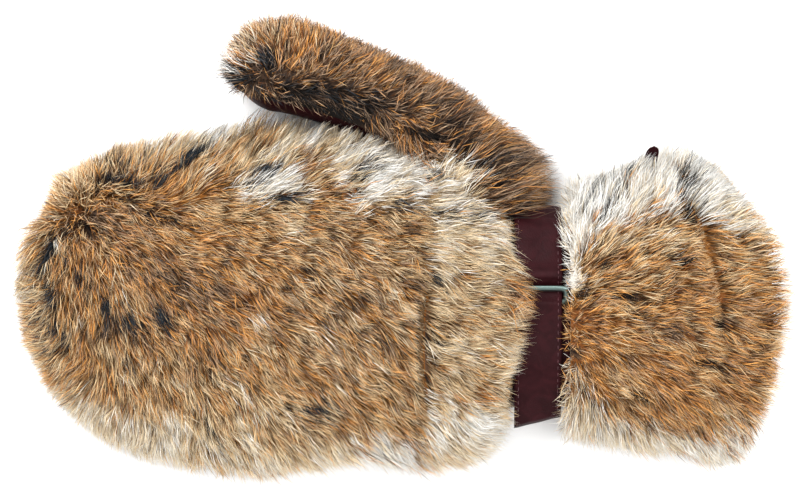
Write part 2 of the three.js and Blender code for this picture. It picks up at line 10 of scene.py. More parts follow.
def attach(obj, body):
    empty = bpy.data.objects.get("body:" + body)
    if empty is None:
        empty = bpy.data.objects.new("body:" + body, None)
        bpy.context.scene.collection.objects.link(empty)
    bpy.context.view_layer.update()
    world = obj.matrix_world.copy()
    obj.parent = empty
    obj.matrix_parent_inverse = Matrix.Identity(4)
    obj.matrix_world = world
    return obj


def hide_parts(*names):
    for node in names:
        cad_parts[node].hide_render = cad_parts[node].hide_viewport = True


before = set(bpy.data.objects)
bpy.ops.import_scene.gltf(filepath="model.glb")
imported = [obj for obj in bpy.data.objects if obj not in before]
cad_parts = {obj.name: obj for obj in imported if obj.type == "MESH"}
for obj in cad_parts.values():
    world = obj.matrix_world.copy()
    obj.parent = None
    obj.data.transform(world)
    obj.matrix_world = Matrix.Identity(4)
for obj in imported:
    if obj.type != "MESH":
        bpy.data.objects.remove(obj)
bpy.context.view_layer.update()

bl_info = {
    "name": "Fur mitten",
    "version": (1, 0, 0),
    "blender": (4, 5, 0),
    "location": "3D View > Sidebar > Mitten",
    "description": "Builds a rabbit fur mitten with a leather palm, a wrist strap and a flared cuff",
    "category": "Object",
}

MM = 0.001
BODY = "root"

# The mitten's forms in millimetres: X towards the cuff, Y towards the thumb, Z up, palm on Z = 0.
# The tables of stations are those of the solids. BOX_CENTRE moves them to the middle of the mitten's box.
BOX_CENTRE = np.array([2.0, 0.3, 0.0])
ARCH_POWER = 0.85
SOLE_POWER = 1.1
SOLE_REACH = 1.25
TIP_SOLE_REACH = 1.4

HIDE_THICKNESS = 1.8
LEATHER_THICKNESS = 2.0
FUR_GAP = 0.6
UNDERFUR_THICKNESS = 3.0
HAND_END = 46.5
WAIST_START = 47.0
WAIST_END = 74.0
CUFF_START = 74.4
CROSS_SEAM_X = 8.0
CUFF_MOUTH_X = 162.0
CUFF_MOUTH_ROUND = 16.0
CUFF_MOUTH_THUMB_ROUND = 22.0
BAND_SEAM_X = 136.0
BAND_SEAM_Y = -30.0
BAND_SEAM_ROUND = 24 / 69**2
SEAM_ANGLE_GAP = 0.006
UPPER_ANGLES = (SEAM_ANGLE_GAP, np.pi - SEAM_ANGLE_GAP)
LOWER_ANGLES = (np.pi + SEAM_ANGLE_GAP, 2 * np.pi - SEAM_ANGLE_GAP)
THUMB_FUR_ANGLES = np.radians((-18, 126))
HIDE_DEPTHS = (-HIDE_THICKNESS, 0)
LEATHER_DEPTHS = (-LEATHER_THICKNESS, 0)
UNDERFUR_DEPTHS = (FUR_GAP, FUR_GAP + UNDERFUR_THICKNESS)
WELT_TAB_FOOT = np.array([108.0, 28.0, 17.0])
WELT_TAB_END = np.array([111.5, 45.0, 31.0])

# Columns: along, centre x, centre y, half width, height, seam height
HAND_ROWS = [
    (-158, -158, -18, 53, 33, 12),
    (-120, -120, -21, 57, 38, 12),
    (-90, -90, -23, 63, 42, 12),
    (-60, -60, -23, 67, 45, 12),
    (-30, -30, -22, 66, 48, 13),
    (0, 0, -23, 64, 49, 13),
    (25, 25, -26, 59, 46, 13),
    (47, 47, -28, 45, 42, 14),
]
THUMB_ROWS = [
    (0, -72, 78, 17, 29, 12),
    (22, -50, 78, 18, 31, 12),
    (48, -25, 70.5, 17.5, 32, 12),
    (75, 0, 59.5, 16.5, 33, 12),
    (96, 17, 48, 16.5, 34, 12),
    (114, 29, 34, 16.5, 36, 13),
    (129, 32, 20, 16.5, 36, 13),
    (144, 32, 5, 16.5, 36, 13),
]
WAIST_ROWS = [
    (47, 47, -28, 42, 41.5, 14),
    (60, 60, -28, 40.5, 40.5, 14),
    (74, 74, -28, 42, 41.5, 14),
]
CUFF_ROWS = [
    (74, 74, -27, 45, 43.5, 14),
    (86, 86, -27, 50, 49, 14),
    (105, 105, -26, 54, 53, 15),
    (125, 125, -25, 58, 55, 15),
    (142, 142, -27, 59, 55, 15),
    (162, 162, -29, 57, 54, 15),
]

# Combing: where the hair lies which way. Columns: x, y, direction (0 towards the cuff, 90 the thumb)
HAND_COMBING = [
    (-163, 1, -165), (-165, -23, -170), (-160, -45, -145), (-156, 23, 150), (-146, -1, -82),
    (-141, -27, -75), (-146, -55, -110), (-130, -69, -75), (-121, -41, -60), (-103, -36, -50),
    (-112, -10, -40), (-83, -27, -38), (-72, -5, -32), (-130, 14, -35), (-99, 8, -25), (-145, 30, 110),
    (-130, 39, 75), (-112, 44, 62), (-88, 50, 65), (-72, 52, 72), (-99, 30, 42), (-83, 36, 45),
    (-64, 36, 30), (-46, 43, 35), (-28, 52, 25), (-46, 30, 8), (-20, 34, 15), (-2, 43, 5), (2, 30, -5),
    (-50, 19, -15), (-24, 14, -15), (-2, 11, -20), (-33, -1, -35), (-46, -23, -38), (-24, -32, -40),
    (-2, -19, -35), (-2, -45, -38), (-28, -58, -35), (-55, -49, -42), (-77, -49, -48), (-99, -67, -60),
    (-77, -80, -50), (-46, -80, -38), (-15, -80, -35), (-55, -98, -55), (-90, -93, -68), (-112, -85, -78),
    (-134, -80, -92), (-147, -68, -115), (7, -89, -38), (-86, 19, -20), (-59, 58, 60), (-33, 60, 40),
    (16, 38, 60), (24, 33, 38), (38, 31, 12), (18, 16, 20), (34, 5, 0), (29, -15, 0), (51, -23, 0),
    (20, -37, -10), (38, -45, -12), (22, -59, -30), (33, -76, -25), (20, -89, -48), (38, -85, -42),
    (11, 3, -10), (11, -24, -15), (9, -96, -50), (-63, 47, 75), (-46, 50, 70), (-28, 48, 60), (-13, 45, 50),
    (0, 41, 40), (9, 36, 40),
]
THUMB_COMBING = [
    (-81, 80, -175), (-80, 72, -155), (-78, 89, 150), (-72, 96, 120), (-63, 99, 95), (-50, 101, 85),
    (-66, 83, 120), (-46, 87, 72), (-33, 91, 70), (-20, 87, 62), (-6, 80, 52), (7, 74, 50), (20, 67, 42),
    (33, 61, 36), (46, 52, 32), (60, 41, 28), (-24, 74, 40), (-2, 65, 30), (20, 52, 18), (42, 43, 10),
    (51, 29, -10), (55, 20, -25), (-50, 74, 60), (-46, 65, -10), (68, 25, 0), (-63, 67, -60),
    (-50, 64, -65), (-37, 62, -60), (-24, 59, -60), (-11, 55, -60), (2, 48, -60), (18, 30, 48),
    (25, 33, 42), (32, 25, 30), (29, 18, 20),
]
CUFF_COMBING = [
    (73, -10, 50), (71, 3, 95), (75, 21, 80), (86, 30, 60), (82, 11, 50), (95, 21, 55), (104, 14, 25),
    (90, 3, 25), (86, -8, 10), (77, -16, 0), (104, -5, 5), (121, -1, 0), (104, 34, 50), (112, 40, 55),
    (130, 34, 38), (143, 30, 32), (148, 17, 18), (159, 6, 10), (139, -5, 5), (156, -19, 5), (163, -41, 0),
    (139, -36, -5), (95, -24, -8), (86, -41, -15), (112, -45, -20), (130, -58, -15), (150, -58, -12),
    (95, -63, -38), (86, -76, -70), (71, -67, -85), (68, -82, -98), (104, -87, -60), (130, -87, -55),
    (141, -85, -42), (108, -71, -38), (82, 43, 75), (108, 35, 72), (117, 39, 68), (86, 29, 75),
    (126, 40, 60),
]

# The fur's outline seen from above, for each pelt. Columns: x, y
HAND_OUTLINE = [
    (-69, 56), (-78, 55), (-86, 54), (-103, 53), (-112, 49), (-121, 46), (-130, 44), (-138, 40), (-147, 35),
    (-156, 32), (-158, 22), (-159, 14), (-165, 11), (-170, 3), (-172, -6), (-172, -23), (-170, -34),
    (-168, -43), (-163, -52), (-157, -62), (-151, -70), (-143, -78), (-134, -85), (-123, -91), (-110, -97),
    (-94, -99), (-77, -101), (-63, -103), (-50, -100), (-37, -99), (-24, -95), (-9, -96), (2, -99),
    (16, -100), (29, -97), (38, -94), (43, -87), (46, -78), (44, -63), (48, -53), (52, -43), (57, -28),
    (58, -19), (53, -9), (46, -1), (46, 9), (52, 19), (49, 31), (38, 40), (29, 47), (16, 53), (-2, 58),
    (-24, 61), (-46, 64), (-63, 65),
]
THUMB_OUTLINE = [
    (-74, 67), (-79, 73), (-82, 79), (-80, 85), (-75, 92), (-69, 98), (-63, 99), (-50, 101), (-42, 98),
    (-33, 94), (-24, 91), (-15, 86), (-6, 83), (2, 80), (11, 76), (20, 73), (29, 65), (38, 57), (46, 53),
    (55, 45), (62, 41), (67, 36), (68, 28), (64, 22), (60, 16), (56, 9), (42, 7), (11, 25), (-4, 44),
    (-12, 54), (-20, 60), (-34, 62), (-50, 64), (-60, 67), (-66, 69),
]
CUFF_OUTLINE = [
    (65, 23), (67, 30), (72, 33), (82, 32), (91, 34), (100, 38), (108, 43), (118, 47), (124, 47), (129, 42),
    (135, 36), (142, 29), (149, 22), (158, 11), (163, 5), (167, -4), (168, -16), (167, -32), (163, -45),
    (161, -58), (158, -72), (153, -84), (150, -93), (141, -96), (131, -95), (121, -89), (108, -92),
    (95, -88), (82, -87), (71, -84), (64, -76), (67, -67), (69, -45), (70, -23), (69, -6), (67, 10),
]

# Tones of the fur, from slate to white
SLATE, DARK, BROWN, RUST, GOLD, TAWNY = 0.03, 0.14, 0.3, 0.42, 0.46, 0.53
SAND, CREAM, WHITE = 0.65, 0.79, 0.95

# Patches of tone where the hair shows. Columns: x, y, half length, half width, turn, tone, cover
HAND_PATCHES = [
    (-132, -8, 26.4, 24.2, 0, RUST, 0.6), (-90, -19, 26.4, 26.4, -20, RUST, 0.75),
    (-112, -23, 30.8, 22.0, 0, BROWN, 0.45), (-130, 11, 19.8, 9.7, 0, BROWN, 0.75),
    (-97, 23, 17.6, 9.7, 20, RUST, 0.7), (-163, -23, 7.5, 33.0, 0, SAND, 0.85),
    (-137, 36, 24.0, 11.0, 25, 0.6, 0.93), (-99, 47, 19.0, 8.5, 12, 0.78, 0.92),
    (-82, 52, 15.0, 6.2, 8, CREAM, 0.85), (-56, 36, 19.0, 14.1, 10, 0.72, 0.88),
    # The first patch here is painted light: paler hair that offsets the shade the thumb casts on the hand
    # beside it.
    (-20, 46, 24.0, 10.0, 0, 0.88, 0.9), (-9, 37, 22.9, 19.0, -5, 0.86, 0.94),
    (-36, 50, 24.2, 8.5, 5, CREAM, 0.88), (-2, 13, 17.6, 7.0, 0, TAWNY, 0.7),
    (-6, 40, 18.0, 14.0, -5, 0.9, 0.9), (-31, -23, 41.8, 33.0, 0, SAND, 0.42),
    (-31, -23, 41.4, 32.6, 0, BROWN, 0.38), (-61, -23, 12.3, 19.8, 0, RUST, 0.6),
    (-88, -19, 22.0, 20.0, 0, BROWN, 0.4), (-138, -78, 26.4, 11.9, -25, CREAM, 0.95),
    (-105, -85, 27.3, 14.1, -8, CREAM, 0.9), (-125, -65, 30.8, 6.2, -15, TAWNY, 0.6),
    (-68, -80, 26.4, 12.3, 0, 0.7, 0.85), (-28, -79, 26.4, 7.0, 8, TAWNY, 0.6),
    (-46, -92, 41.8, 8.0, 4, CREAM, 0.88), (-6, -91, 18.5, 8.8, 0, WHITE, 0.92),
    (-36, -55, 9.7, 4.0, 10, RUST, 0.6), (-157, -4, 9.7, 2.6, 66, SLATE, 0.97),
    (-155, -23, 8.8, 2.5, -74, SLATE, 0.97), (-151, -38, 7.0, 2.2, -55, SLATE, 0.95),
    (-148, 7, 3.1, 1.8, -60, DARK, 0.85), (-139, 9, 4.0, 2.2, -45, DARK, 0.8),
    (-148, -7, 3.1, 1.5, 80, SLATE, 0.85), (-141, -13, 3.5, 2.2, -60, SLATE, 0.85),
    (-131, 30, 6.0, 2.6, 0, DARK, 0.95), (-122, 29, 8.8, 2.6, -5, SLATE, 0.85),
    (-107, 29, 5.3, 2.2, 45, SLATE, 0.9), (-94, 39, 11.9, 2.4, 38, SLATE, 0.95),
    (-111, 15, 3.1, 1.8, 20, DARK, 0.85), (-112, 43, 3.1, 1.3, 10, DARK, 0.6),
    (-120, 21, 6.2, 1.8, 0, DARK, 0.6), (-101, 11, 5.3, 1.8, -15, DARK, 0.5),
    (-130, -26, 3.5, 2.2, -60, SLATE, 0.9), (-121, -31, 6.2, 3.5, -35, SLATE, 0.8),
    (-105, -31, 6.6, 2.6, -52, SLATE, 0.92), (-133, -38, 2.6, 1.8, -60, DARK, 0.8),
    (-122, -49, 2.6, 2.2, -40, SLATE, 0.4), (-85, -55, 4.0, 2.2, -50, DARK, 0.6),
    (-84, -80, 4.8, 1.8, -55, SLATE, 0.9), (-38, -70, 8.8, 2.9, 8, SLATE, 0.95),
    (-57, 28, 15.0, 7.9, 5, WHITE, 0.9), (-61, 34, 8.8, 1.5, 12, SLATE, 0.9),
    (-65, 28, 6.2, 1.3, 5, SLATE, 0.85), (-52, 21, 9.7, 1.8, -5, SLATE, 0.95),
    (-42, 38, 5.0, 7.0, 0, RUST, 0.92), (-34, 26, 4.4, 4.4, 0, RUST, 0.7),
    (-55, 13, 4.0, 1.3, 0, RUST, 0.6), (-57, 10, 5.3, 1.8, -10, BROWN, 0.6),
    (-17, 34, 5.7, 3.5, 45, SLATE, 0.7), (-23, 23, 4.4, 2.6, 30, SLATE, 0.65),
    (0, 17, 3.5, 2.2, 30, SLATE, 0.7), (-9, 31, 13.2, 5.7, 90, WHITE, 0.75),
    # The dark mark at (6, -43) is painted shade: a dark line of hair where the fur parts along the cross
    # seam.
    (7, 28, 13.2, 4.0, 90, WHITE, 0.8), (6, -43, 24.6, 1.3, 90, DARK, 0.9),
]
HEEL_PATCHES = [
    (23, 35, 13.2, 7.9, 0, WHITE, 0.97), (18, 32, 6.2, 1.8, 35, SLATE, 0.85),
    (31, 21, 19.0, 11.0, -35, 0.87, 0.92), (13, 35, 4.4, 2.2, 90, DARK, 0.7),
    (29, 12, 5.7, 2.2, 0, SLATE, 0.5), (18, 14, 4.4, 2.6, 0, DARK, 0.5), (29, 1, 19.8, 13.2, 0, CREAM, 0.8),
    (52, -21, 11.0, 8.0, 90, RUST, 0.9), (33, -32, 22.9, 19.8, 0, SAND, 0.7),
    (14, -14, 3.1, 2.2, 0, SLATE, 0.75), (35, -63, 7.9, 3.5, -15, RUST, 0.45),
    (31, -82, 21.1, 15.8, 0, 0.87, 0.93), (44, -68, 9.7, 9.7, 0, CREAM, 0.8),
    # The last mark is painted shade: a dark line of hair where the fur parts along the cross seam.
    (10, -43, 22.9, 1.8, 90, DARK, 0.7),
]
THUMB_PATCHES = [
    (-56, 93, 15.8, 6.2, -12, 0.62, 0.4), (-37, 87, 20.0, 8.0, -25, 0.365, 0.7),
    (-33, 78, 27.3, 7.5, -20, 0.36, 0.5), (-70, 89, 6.5, 6.2, 0, CREAM, 0.3),
    (-79, 83, 4.0, 5.3, 0, WHITE, 0.6), (-77, 75, 7.5, 6.5, -45, SLATE, 0.9),
    (-61, 83, 6.0, 4.4, -35, SLATE, 0.6), (-66, 76, 7.9, 6.2, 0, 0.24, 0.5),
    # The first patch here is painted shade: near-black hair and underfur fill the hollow between the thumb
    # and the hand, where shade falls.
    (-32, 63, 32.0, 9.5, -5, DARK, 1.0), (11, 65, 30.8, 8.8, -35, 0.355, 0.6),
    (14, 48, 15.8, 2.6, -12, DARK, 0.9), (33, 43, 22.0, 7.5, -35, 0.22, 0.65),
    (51, 34, 17.6, 7.0, -40, RUST, 0.2), (65, 30, 9.7, 4.4, 90, DARK, 0.6),
    (42, 21, 13.2, 6.2, -30, BROWN, 0.8), (33, 36, 13.2, 2.2, -25, DARK, 0.5),
    (57, 14, 13.2, 5.3, 0, DARK, 0.85), (22, 31, 14.5, 9.5, -20, 0.9, 0.97),
    (35, 17, 12.5, 7.5, -40, CREAM, 0.94),
]
CUFF_PATCHES = [
    (122, 36, 22.0, 12.0, -15, WHITE, 0.97), (72, 20, 16.0, 8.0, 90, WHITE, 0.97),
    (86, 21, 22.0, 16.7, 15, WHITE, 0.97), (108, 28, 20.2, 14.1, 0, WHITE, 0.96),
    (137, 23, 22.0, 12.3, -30, WHITE, 0.96), (148, 10, 12.3, 5.3, -40, CREAM, 0.8),
    (71, -1, 18.5, 6.2, 90, WHITE, 0.95), (74, -15, 6.2, 6.2, 0, WHITE, 0.85),
    (104, 2, 26.5, 8.0, 5, 0.6, 0.95), (104, -12, 28.2, 7.5, 5, TAWNY, 0.7),
    # The slate mark at (94, 24) follows the crease down from the welt tab: partly slate hair, partly painted
    # shade in the crease.
    (148, -5, 18.5, 14.1, 0, 0.55, 0.75), (94, 24, 18.5, 2.0, 56, SLATE, 0.55),
    # The second mark here is painted shade: a dark line of hair in the crease along the band's seam.
    (126, 32, 6.5, 3.6, -60, SLATE, 0.4), (123, 18, 11.4, 1.8, -70, DARK, 0.92),
    (86, 28, 6.2, 1.3, 40, SLATE, 0.5), (79, 19, 5.3, 1.3, 55, SLATE, 0.5),
    (88, -7, 2.2, 1.3, 0, DARK, 0.8), (119, -5, 5.7, 1.8, -15, DARK, 0.75),
    (78, -20, 4.4, 1.8, 0, DARK, 0.95), (97, -21, 7.5, 1.8, -3, DARK, 0.95),
    (110, -24, 6.2, 1.3, -5, DARK, 0.65), (101, -28, 4.0, 1.3, -15, DARK, 0.7),
    (117, -21, 5.3, 1.3, 0, BROWN, 0.7), (104, -52, 34.3, 24.2, -12, GOLD, 0.85),
    (112, -36, 17.6, 5.3, -5, BROWN, 0.4), (132, -50, 5.3, 1.5, -5, DARK, 0.8),
    (103, -65, 4.0, 2.2, -20, DARK, 0.85), (75, -46, 3.1, 1.8, -20, DARK, 0.7),
    (82, -66, 8.8, 1.3, -40, DARK, 0.65), (137, -33, 4.0, 2.2, 90, DARK, 0.92),
    (154, -27, 10.6, 7.0, 90, GOLD, 0.8), (157, -49, 9.7, 5.7, 90, RUST, 0.5),
    (167, -25, 35.2, 3.1, 90, CREAM, 0.75), (74, -74, 15.0, 11.9, 0, 0.86, 0.97),
    (91, -82, 19.5, 8.0, -12, 0.84, 0.95), (110, -84, 19.5, 6.5, -5, 0.83, 0.95),
    (140, -89, 16.7, 7.5, 0, WHITE, 0.97), (147, -76, 13.2, 4.4, 5, CREAM, 0.6),
    (159, -67, 13.2, 4.4, 90, SAND, 0.65),
]


# Sizes and colours that a user may change


def linear(hex_code):
    """An sRGB hex colour as linear red, green and blue."""
    parts = [int(hex_code[i : i + 2], 16) / 255 for i in (0, 2, 4)]
    return tuple(c / 12.92 if c <= 0.04045 else ((c + 0.055) / 1.055) ** 2.4 for c in parts)


def colour_property(name, description, hex_code):
    return FloatVectorProperty(
        name=name, description=description, default=linear(hex_code), subtype="COLOR", size=3, min=0, max=1
    )


def length_property(name, description, default):
    return FloatProperty(
        name=name, description=description, default=default * MM, min=0, subtype="DISTANCE", unit="LENGTH"
    )


class MittenFurSettings(PropertyGroup):
    hair_width: length_property("Hair width", "Width of one thick hair at its root", 0.43)
    tuft_spacing: length_property("Tuft spacing", "Distance between the tufts that hairs gather in", 3.0)
    gather: FloatProperty(
        name="Gather", description="How far the hairs of a tuft meet at its tip", default=0.44
    )
    hand_hair: length_property("Hand hair", "Length of the hair on the back of the hand", 14.5)
    thumb_hair: length_property("Thumb hair", "Length of the hair on the thumb", 12.5)
    cuff_hair: length_property("Cuff hair", "Length of the hair on the cuff", 15)
    finger_triangles: IntProperty(
        name="Finger triangles", default=150000,
        description="Triangles in each part of the finger pelt's hair",
    )
    heel_triangles: IntProperty(
        name="Heel triangles", description="Triangles in the hair of the pelt by the wrist", default=100000
    )
    thumb_triangles: IntProperty(
        name="Thumb triangles", description="Triangles in the thumb's hair", default=105000
    )
    cuff_triangles: IntProperty(
        name="Cuff triangles", description="Triangles in the hair of the cuff's main pelt", default=130000
    )
    band_triangles: IntProperty(
        name="Band triangles", description="Triangles in the hair of the cuff's end band", default=75000
    )


class MittenLeatherSettings(PropertyGroup):
    leather: colour_property("Leather", "Dyed burgundy leather", "220A0D")
    leather_worn: colour_property("Worn leather", "Burgundy leather where it is rubbed", "311216")
    hide: colour_property("Hide", "Skin side of the pelts", "C9B597")
    thread: colour_property("Thread", "Sewing thread", "4A2028")
    # The wire's grey-green tint is a painted reflection: the teal that the bright wire reflects is put in
    # its base colour.
    steel: colour_property("Steel", "Wire of the ring", "80948F")
    stitch_pitch: length_property("Stitch pitch", "From one stitch to the next", 3.2)
    stitch_length: length_property("Stitch length", "Length of a stitch", 2.3)
    thread_width: length_property("Thread width", "Width of the thread", 0.5)


class MittenStageSettings(PropertyGroup):
    floor: colour_property("Floor", "Matte white paper under the mitten", "FBFBFB")
    camera_height: length_property("Camera height", "Camera above the surface", 2200)
    view_width: length_property("View width", "Width of the view at half the mitten's height", 352)
    view_x: FloatProperty(name="View X", description="Middle of the view", default=-0.00198, unit="LENGTH")
    view_y: FloatProperty(name="View Y", description="Middle of the view", default=-0.0003, unit="LENGTH")
    light: FloatProperty(name="Light", description="Power of the large light", default=46, unit="POWER")


# Forms: a rounded arch over a flat sole, swept along a table of stations


def signed_power(value, power):
    return np.sign(value) * np.abs(value) ** power


class Form:
    """A swept form. Stations run along it, angles round it: 0 at the thumb side, 90 degrees on top."""

    def __init__(self, rows, tip=0.0, tip_powers=(2, 2), follows_spine=False):
        self.tip_powers = tip_powers
        self.rows = np.array(rows, float)
        self.start = self.rows[0, 0]
        self.end = self.rows[-1, 0]
        self.tip = tip
        self.follows_spine = follows_spine

    def read(self, at):
        """Smooth values of the table's columns at stations."""
        places = self.rows[:, 0]
        last = len(places) - 1
        index = np.clip(np.searchsorted(places, at) - 1, 0, last - 1)
        before = np.maximum(index - 1, 0)
        after = np.minimum(index + 2, last)
        low, high = self.rows[index], self.rows[index + 1]
        span = (places[index + 1] - places[index])[..., None]
        share = (at - places[index])[..., None] / span
        slope_low = span * (high - self.rows[before]) / (places[index + 1] - places[before])[..., None]
        slope_high = span * (self.rows[after] - low) / (places[after] - places[index])[..., None]
        s = np.clip(share, 0, 1)
        curve = (2 * s**3 - 3 * s**2 + 1) * low + (s**3 - 2 * s**2 + s) * slope_low
        curve = curve + (3 * s**2 - 2 * s**3) * high + (s**3 - s**2) * slope_high
        return curve + slope_low * np.minimum(share, 0) + slope_high * np.maximum(share - 1, 0)

    def direction(self, at):
        """Level unit vectors along the form."""
        if not self.follows_spine:
            return np.stack((np.ones_like(at), np.zeros_like(at)), -1)
        step = (self.read(at + 1) - self.read(at - 1))[..., 1:3]
        return step / np.linalg.norm(step, axis=-1, keepdims=True)

    def ending(self, at, grow):
        """The share of the full width at stations: less than 1 on a rounded tip."""
        if not self.tip:
            return np.ones_like(at)
        reach = np.clip((self.start + self.tip - at) / (self.tip + grow), 0, 1)
        reach_power, end_power = self.tip_powers
        return (1 - reach**reach_power) ** (1 / end_power)

    def point(self, at, angle, grow):
        """Points of the skin grown outwards, in millimetres."""
        at, angle, grow = np.broadcast_arrays(*(np.asarray(v, float) for v in (at, angle, grow)))
        held = np.maximum(at, self.start)
        _, x, y, half, high, seam = np.moveaxis(self.read(held), -1, 0)
        ahead = self.direction(held)
        ending = self.ending(at, grow)
        side = (half + grow) * ending * signed_power(np.cos(angle), ARCH_POWER)
        sine = np.sin(angle)
        arch = (high + grow - seam) * ending * np.maximum(sine, 0) ** ARCH_POWER
        sole = np.minimum(1, SOLE_REACH * np.maximum(-sine, 0) ** SOLE_POWER)
        belly = (seam + grow) * np.minimum(1, TIP_SOLE_REACH * ending) * sole
        overrun = at - held
        return np.stack(
            (
                x + ahead[..., 0] * overrun - ahead[..., 1] * side,
                y + ahead[..., 1] * overrun + ahead[..., 0] * side,
                seam + np.where(sine >= 0, arch, -belly),
            ),
            -1,
        )

    def holds(self, points, grow):
        """Whether points lie in the form grown outwards."""
        at = points[:, 0]
        if self.follows_spine:
            stations = np.arange(self.start, self.end, 2.0)
            spine = self.read(stations)[:, 1:3]
            away = ((points[:, None, :2] - spine[None]) ** 2).sum(-1)
            at = stations[away.argmin(1)]
        row = self.read(at)
        ahead = self.direction(at)
        offset = points[:, :2] - row[:, 1:3]
        side = np.abs(offset[:, 1] * ahead[:, 0] - offset[:, 0] * ahead[:, 1])
        at = at + (offset * ahead).sum(1) * self.follows_spine
        ending = np.maximum(self.ending(at, grow), 1e-3)
        side = side / ((row[:, 3] + grow) * ending)
        rise = np.maximum(points[:, 2] - row[:, 5], 0) / ((row[:, 4] + grow - row[:, 5]) * ending)
        power = 2 / ARCH_POWER
        return (side**power + rise**power < 1) & (at <= self.end)


HAND = Form(HAND_ROWS, tip=48, tip_powers=(2.8, 2.3))
THUMB = Form(THUMB_ROWS, tip=17, follows_spine=True)
WAIST = Form(WAIST_ROWS)
CUFF = Form(CUFF_ROWS)


def cuff_mouth(angle):
    cosine = np.cos(angle)
    return CUFF_MOUTH_X - np.where(cosine > 0, CUFF_MOUTH_THUMB_ROUND, CUFF_MOUTH_ROUND) * cosine**2


def band_seam(y):
    return BAND_SEAM_X - BAND_SEAM_ROUND * (y - BAND_SEAM_Y) ** 2


def cross_seam_station(angle):
    """The station of the cuff's cross seam at each angle."""
    y = CUFF.point(np.full_like(angle, BAND_SEAM_X), angle, FUR_GAP)[..., 1]
    return band_seam(y)


def thumb_end(angle, grow=0):
    """The station at which each line along the thumb reaches the hand."""
    past_tip, step = 20, 0.5
    stations = np.arange(THUMB.start + past_tip, THUMB.end, step)
    flat = np.ravel(angle)
    points = THUMB.point(stations[:, None], flat[None, :], grow)
    inside = HAND.holds(points.reshape(-1, 3), FUR_GAP).reshape(points.shape[:2])
    first = np.where(inside.any(0), inside.argmax(0), len(stations) - 1)
    return stations[first].reshape(np.shape(angle))


# Meshes and objects


def mesh_points(mesh):
    co = np.empty(len(mesh.vertices) * 3, np.float32)
    mesh.vertices.foreach_get("co", co)
    return co.reshape(-1, 3).astype(float)


def corner_points(verts):
    return np.array([vertex.co for vertex in verts])


def move_corners(verts, points):
    for vertex, point in zip(verts, points):
        vertex.co = point


def finish_piece(bm, name, material, place=None):
    """Makes an object of a bmesh in parameter space: place gives its points in millimetres."""
    mesh = bpy.data.meshes.new(name)
    if place is not None:
        move_corners(bm.verts, place(corner_points(bm.verts)))
        bmesh.ops.remove_doubles(bm, verts=bm.verts, dist=1e-3)
        bmesh.ops.dissolve_degenerate(bm, edges=bm.edges, dist=1e-4)
        bmesh.ops.recalc_face_normals(bm, faces=bm.faces)
    for face in bm.faces:
        face.smooth = True
    bm.to_mesh(mesh)
    bm.free()
    return link_piece(mesh, name, material)


def link_piece(mesh, name, material):
    """Moves a mesh in the solids' millimetres to its place in metres, and makes it ride on the mitten."""
    points = (mesh_points(mesh) - BOX_CENTRE) * MM
    mesh.vertices.foreach_set("co", points.astype(np.float32).ravel())
    mesh.update()
    mesh.materials.append(material)
    piece = bpy.data.objects.new(name, mesh)
    bpy.context.scene.collection.objects.link(piece)
    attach(piece, BODY)
    return piece


def net(along, around):
    """A closed block one unit each way, as a bmesh in parameter space, netted along X and Y."""
    bm = bmesh.new()
    bmesh.ops.create_grid(bm, x_segments=along, y_segments=around, size=0.5)
    made = bmesh.ops.extrude_face_region(bm, geom=bm.faces[:], use_keep_orig=True)
    moved = [item for item in made["geom"] if isinstance(item, bmesh.types.BMVert)]
    bmesh.ops.translate(bm, verts=moved, vec=(0, 0, 1))
    return bm


def station_of(form, share, start, end, grow=0):
    """Stations at shares along a form. Those of a rounded tip are evenly spaced by turn."""
    if not form.tip:
        return start + (end - start) * share
    tip_share = 0.32
    turn = np.minimum(share / tip_share, 1) * np.pi / 2
    on_tip = form.start + form.tip - (form.tip + grow) * np.cos(turn)
    beyond = np.maximum(share - tip_share, 0) / (1 - tip_share)
    return on_tip + (end - form.start - form.tip) * beyond


def wall(name, form, material, *, angles, depths, start, end, steps):
    """A layer of even thickness over part of a form. Its start and end may be functions of the angle."""

    def place(flat):
        angle = angles[0] + (angles[1] - angles[0]) * (flat[:, 1] + 0.5)
        depth = np.where(flat[:, 2] > 0.5, depths[1], depths[0])
        first, last = (edge(angle) if callable(edge) else edge for edge in (start, end))
        at = station_of(form, flat[:, 0] + 0.5, first, last, np.maximum(depth, 0))
        return form.point(at, angle, depth)

    return finish_piece(net(*steps), name, material, place)


def waves(x, y, length, seed):
    """A smooth seeded unevenness of about one unit each way, with bumps of a given length."""
    rng = np.random.default_rng(seed)
    total = np.zeros(np.broadcast(x, y).shape)
    count = 6
    for _ in range(count):
        turn, phase = rng.uniform(0, 2 * np.pi, 2)
        rate = 2 * np.pi / (length * rng.uniform(0.7, 1.6))
        total = total + np.sin(rate * (x * np.cos(turn) + y * np.sin(turn)) + phase)
    return total / np.sqrt(count)


# Fur


def combed(table, x, y):
    """The direction in which the hair lies at points, and how far the table's rows agree on it."""
    softness = 7.0
    rows = np.array(table, float)
    away = (x[:, None] - rows[:, 0]) ** 2 + (y[:, None] - rows[:, 1]) ** 2
    weight = 1 / (away + softness**2) ** 2
    turn = np.radians(rows[:, 2])
    sine, cosine = (weight * np.sin(turn)).sum(1), (weight * np.cos(turn)).sum(1)
    return np.arctan2(sine, cosine), np.hypot(sine, cosine) / weight.sum(1)


def patch_cover(row, x, y):
    """How far a patch of tone covers points, from 0 to 1."""
    turn = np.radians(row[4])
    dx, dy = x - row[0], y - row[1]
    along = (dx * np.cos(turn) + dy * np.sin(turn)) / row[2]
    across = (dy * np.cos(turn) - dx * np.sin(turn)) / row[3]
    return row[6] * np.exp(-((along**2 + across**2) ** 2))


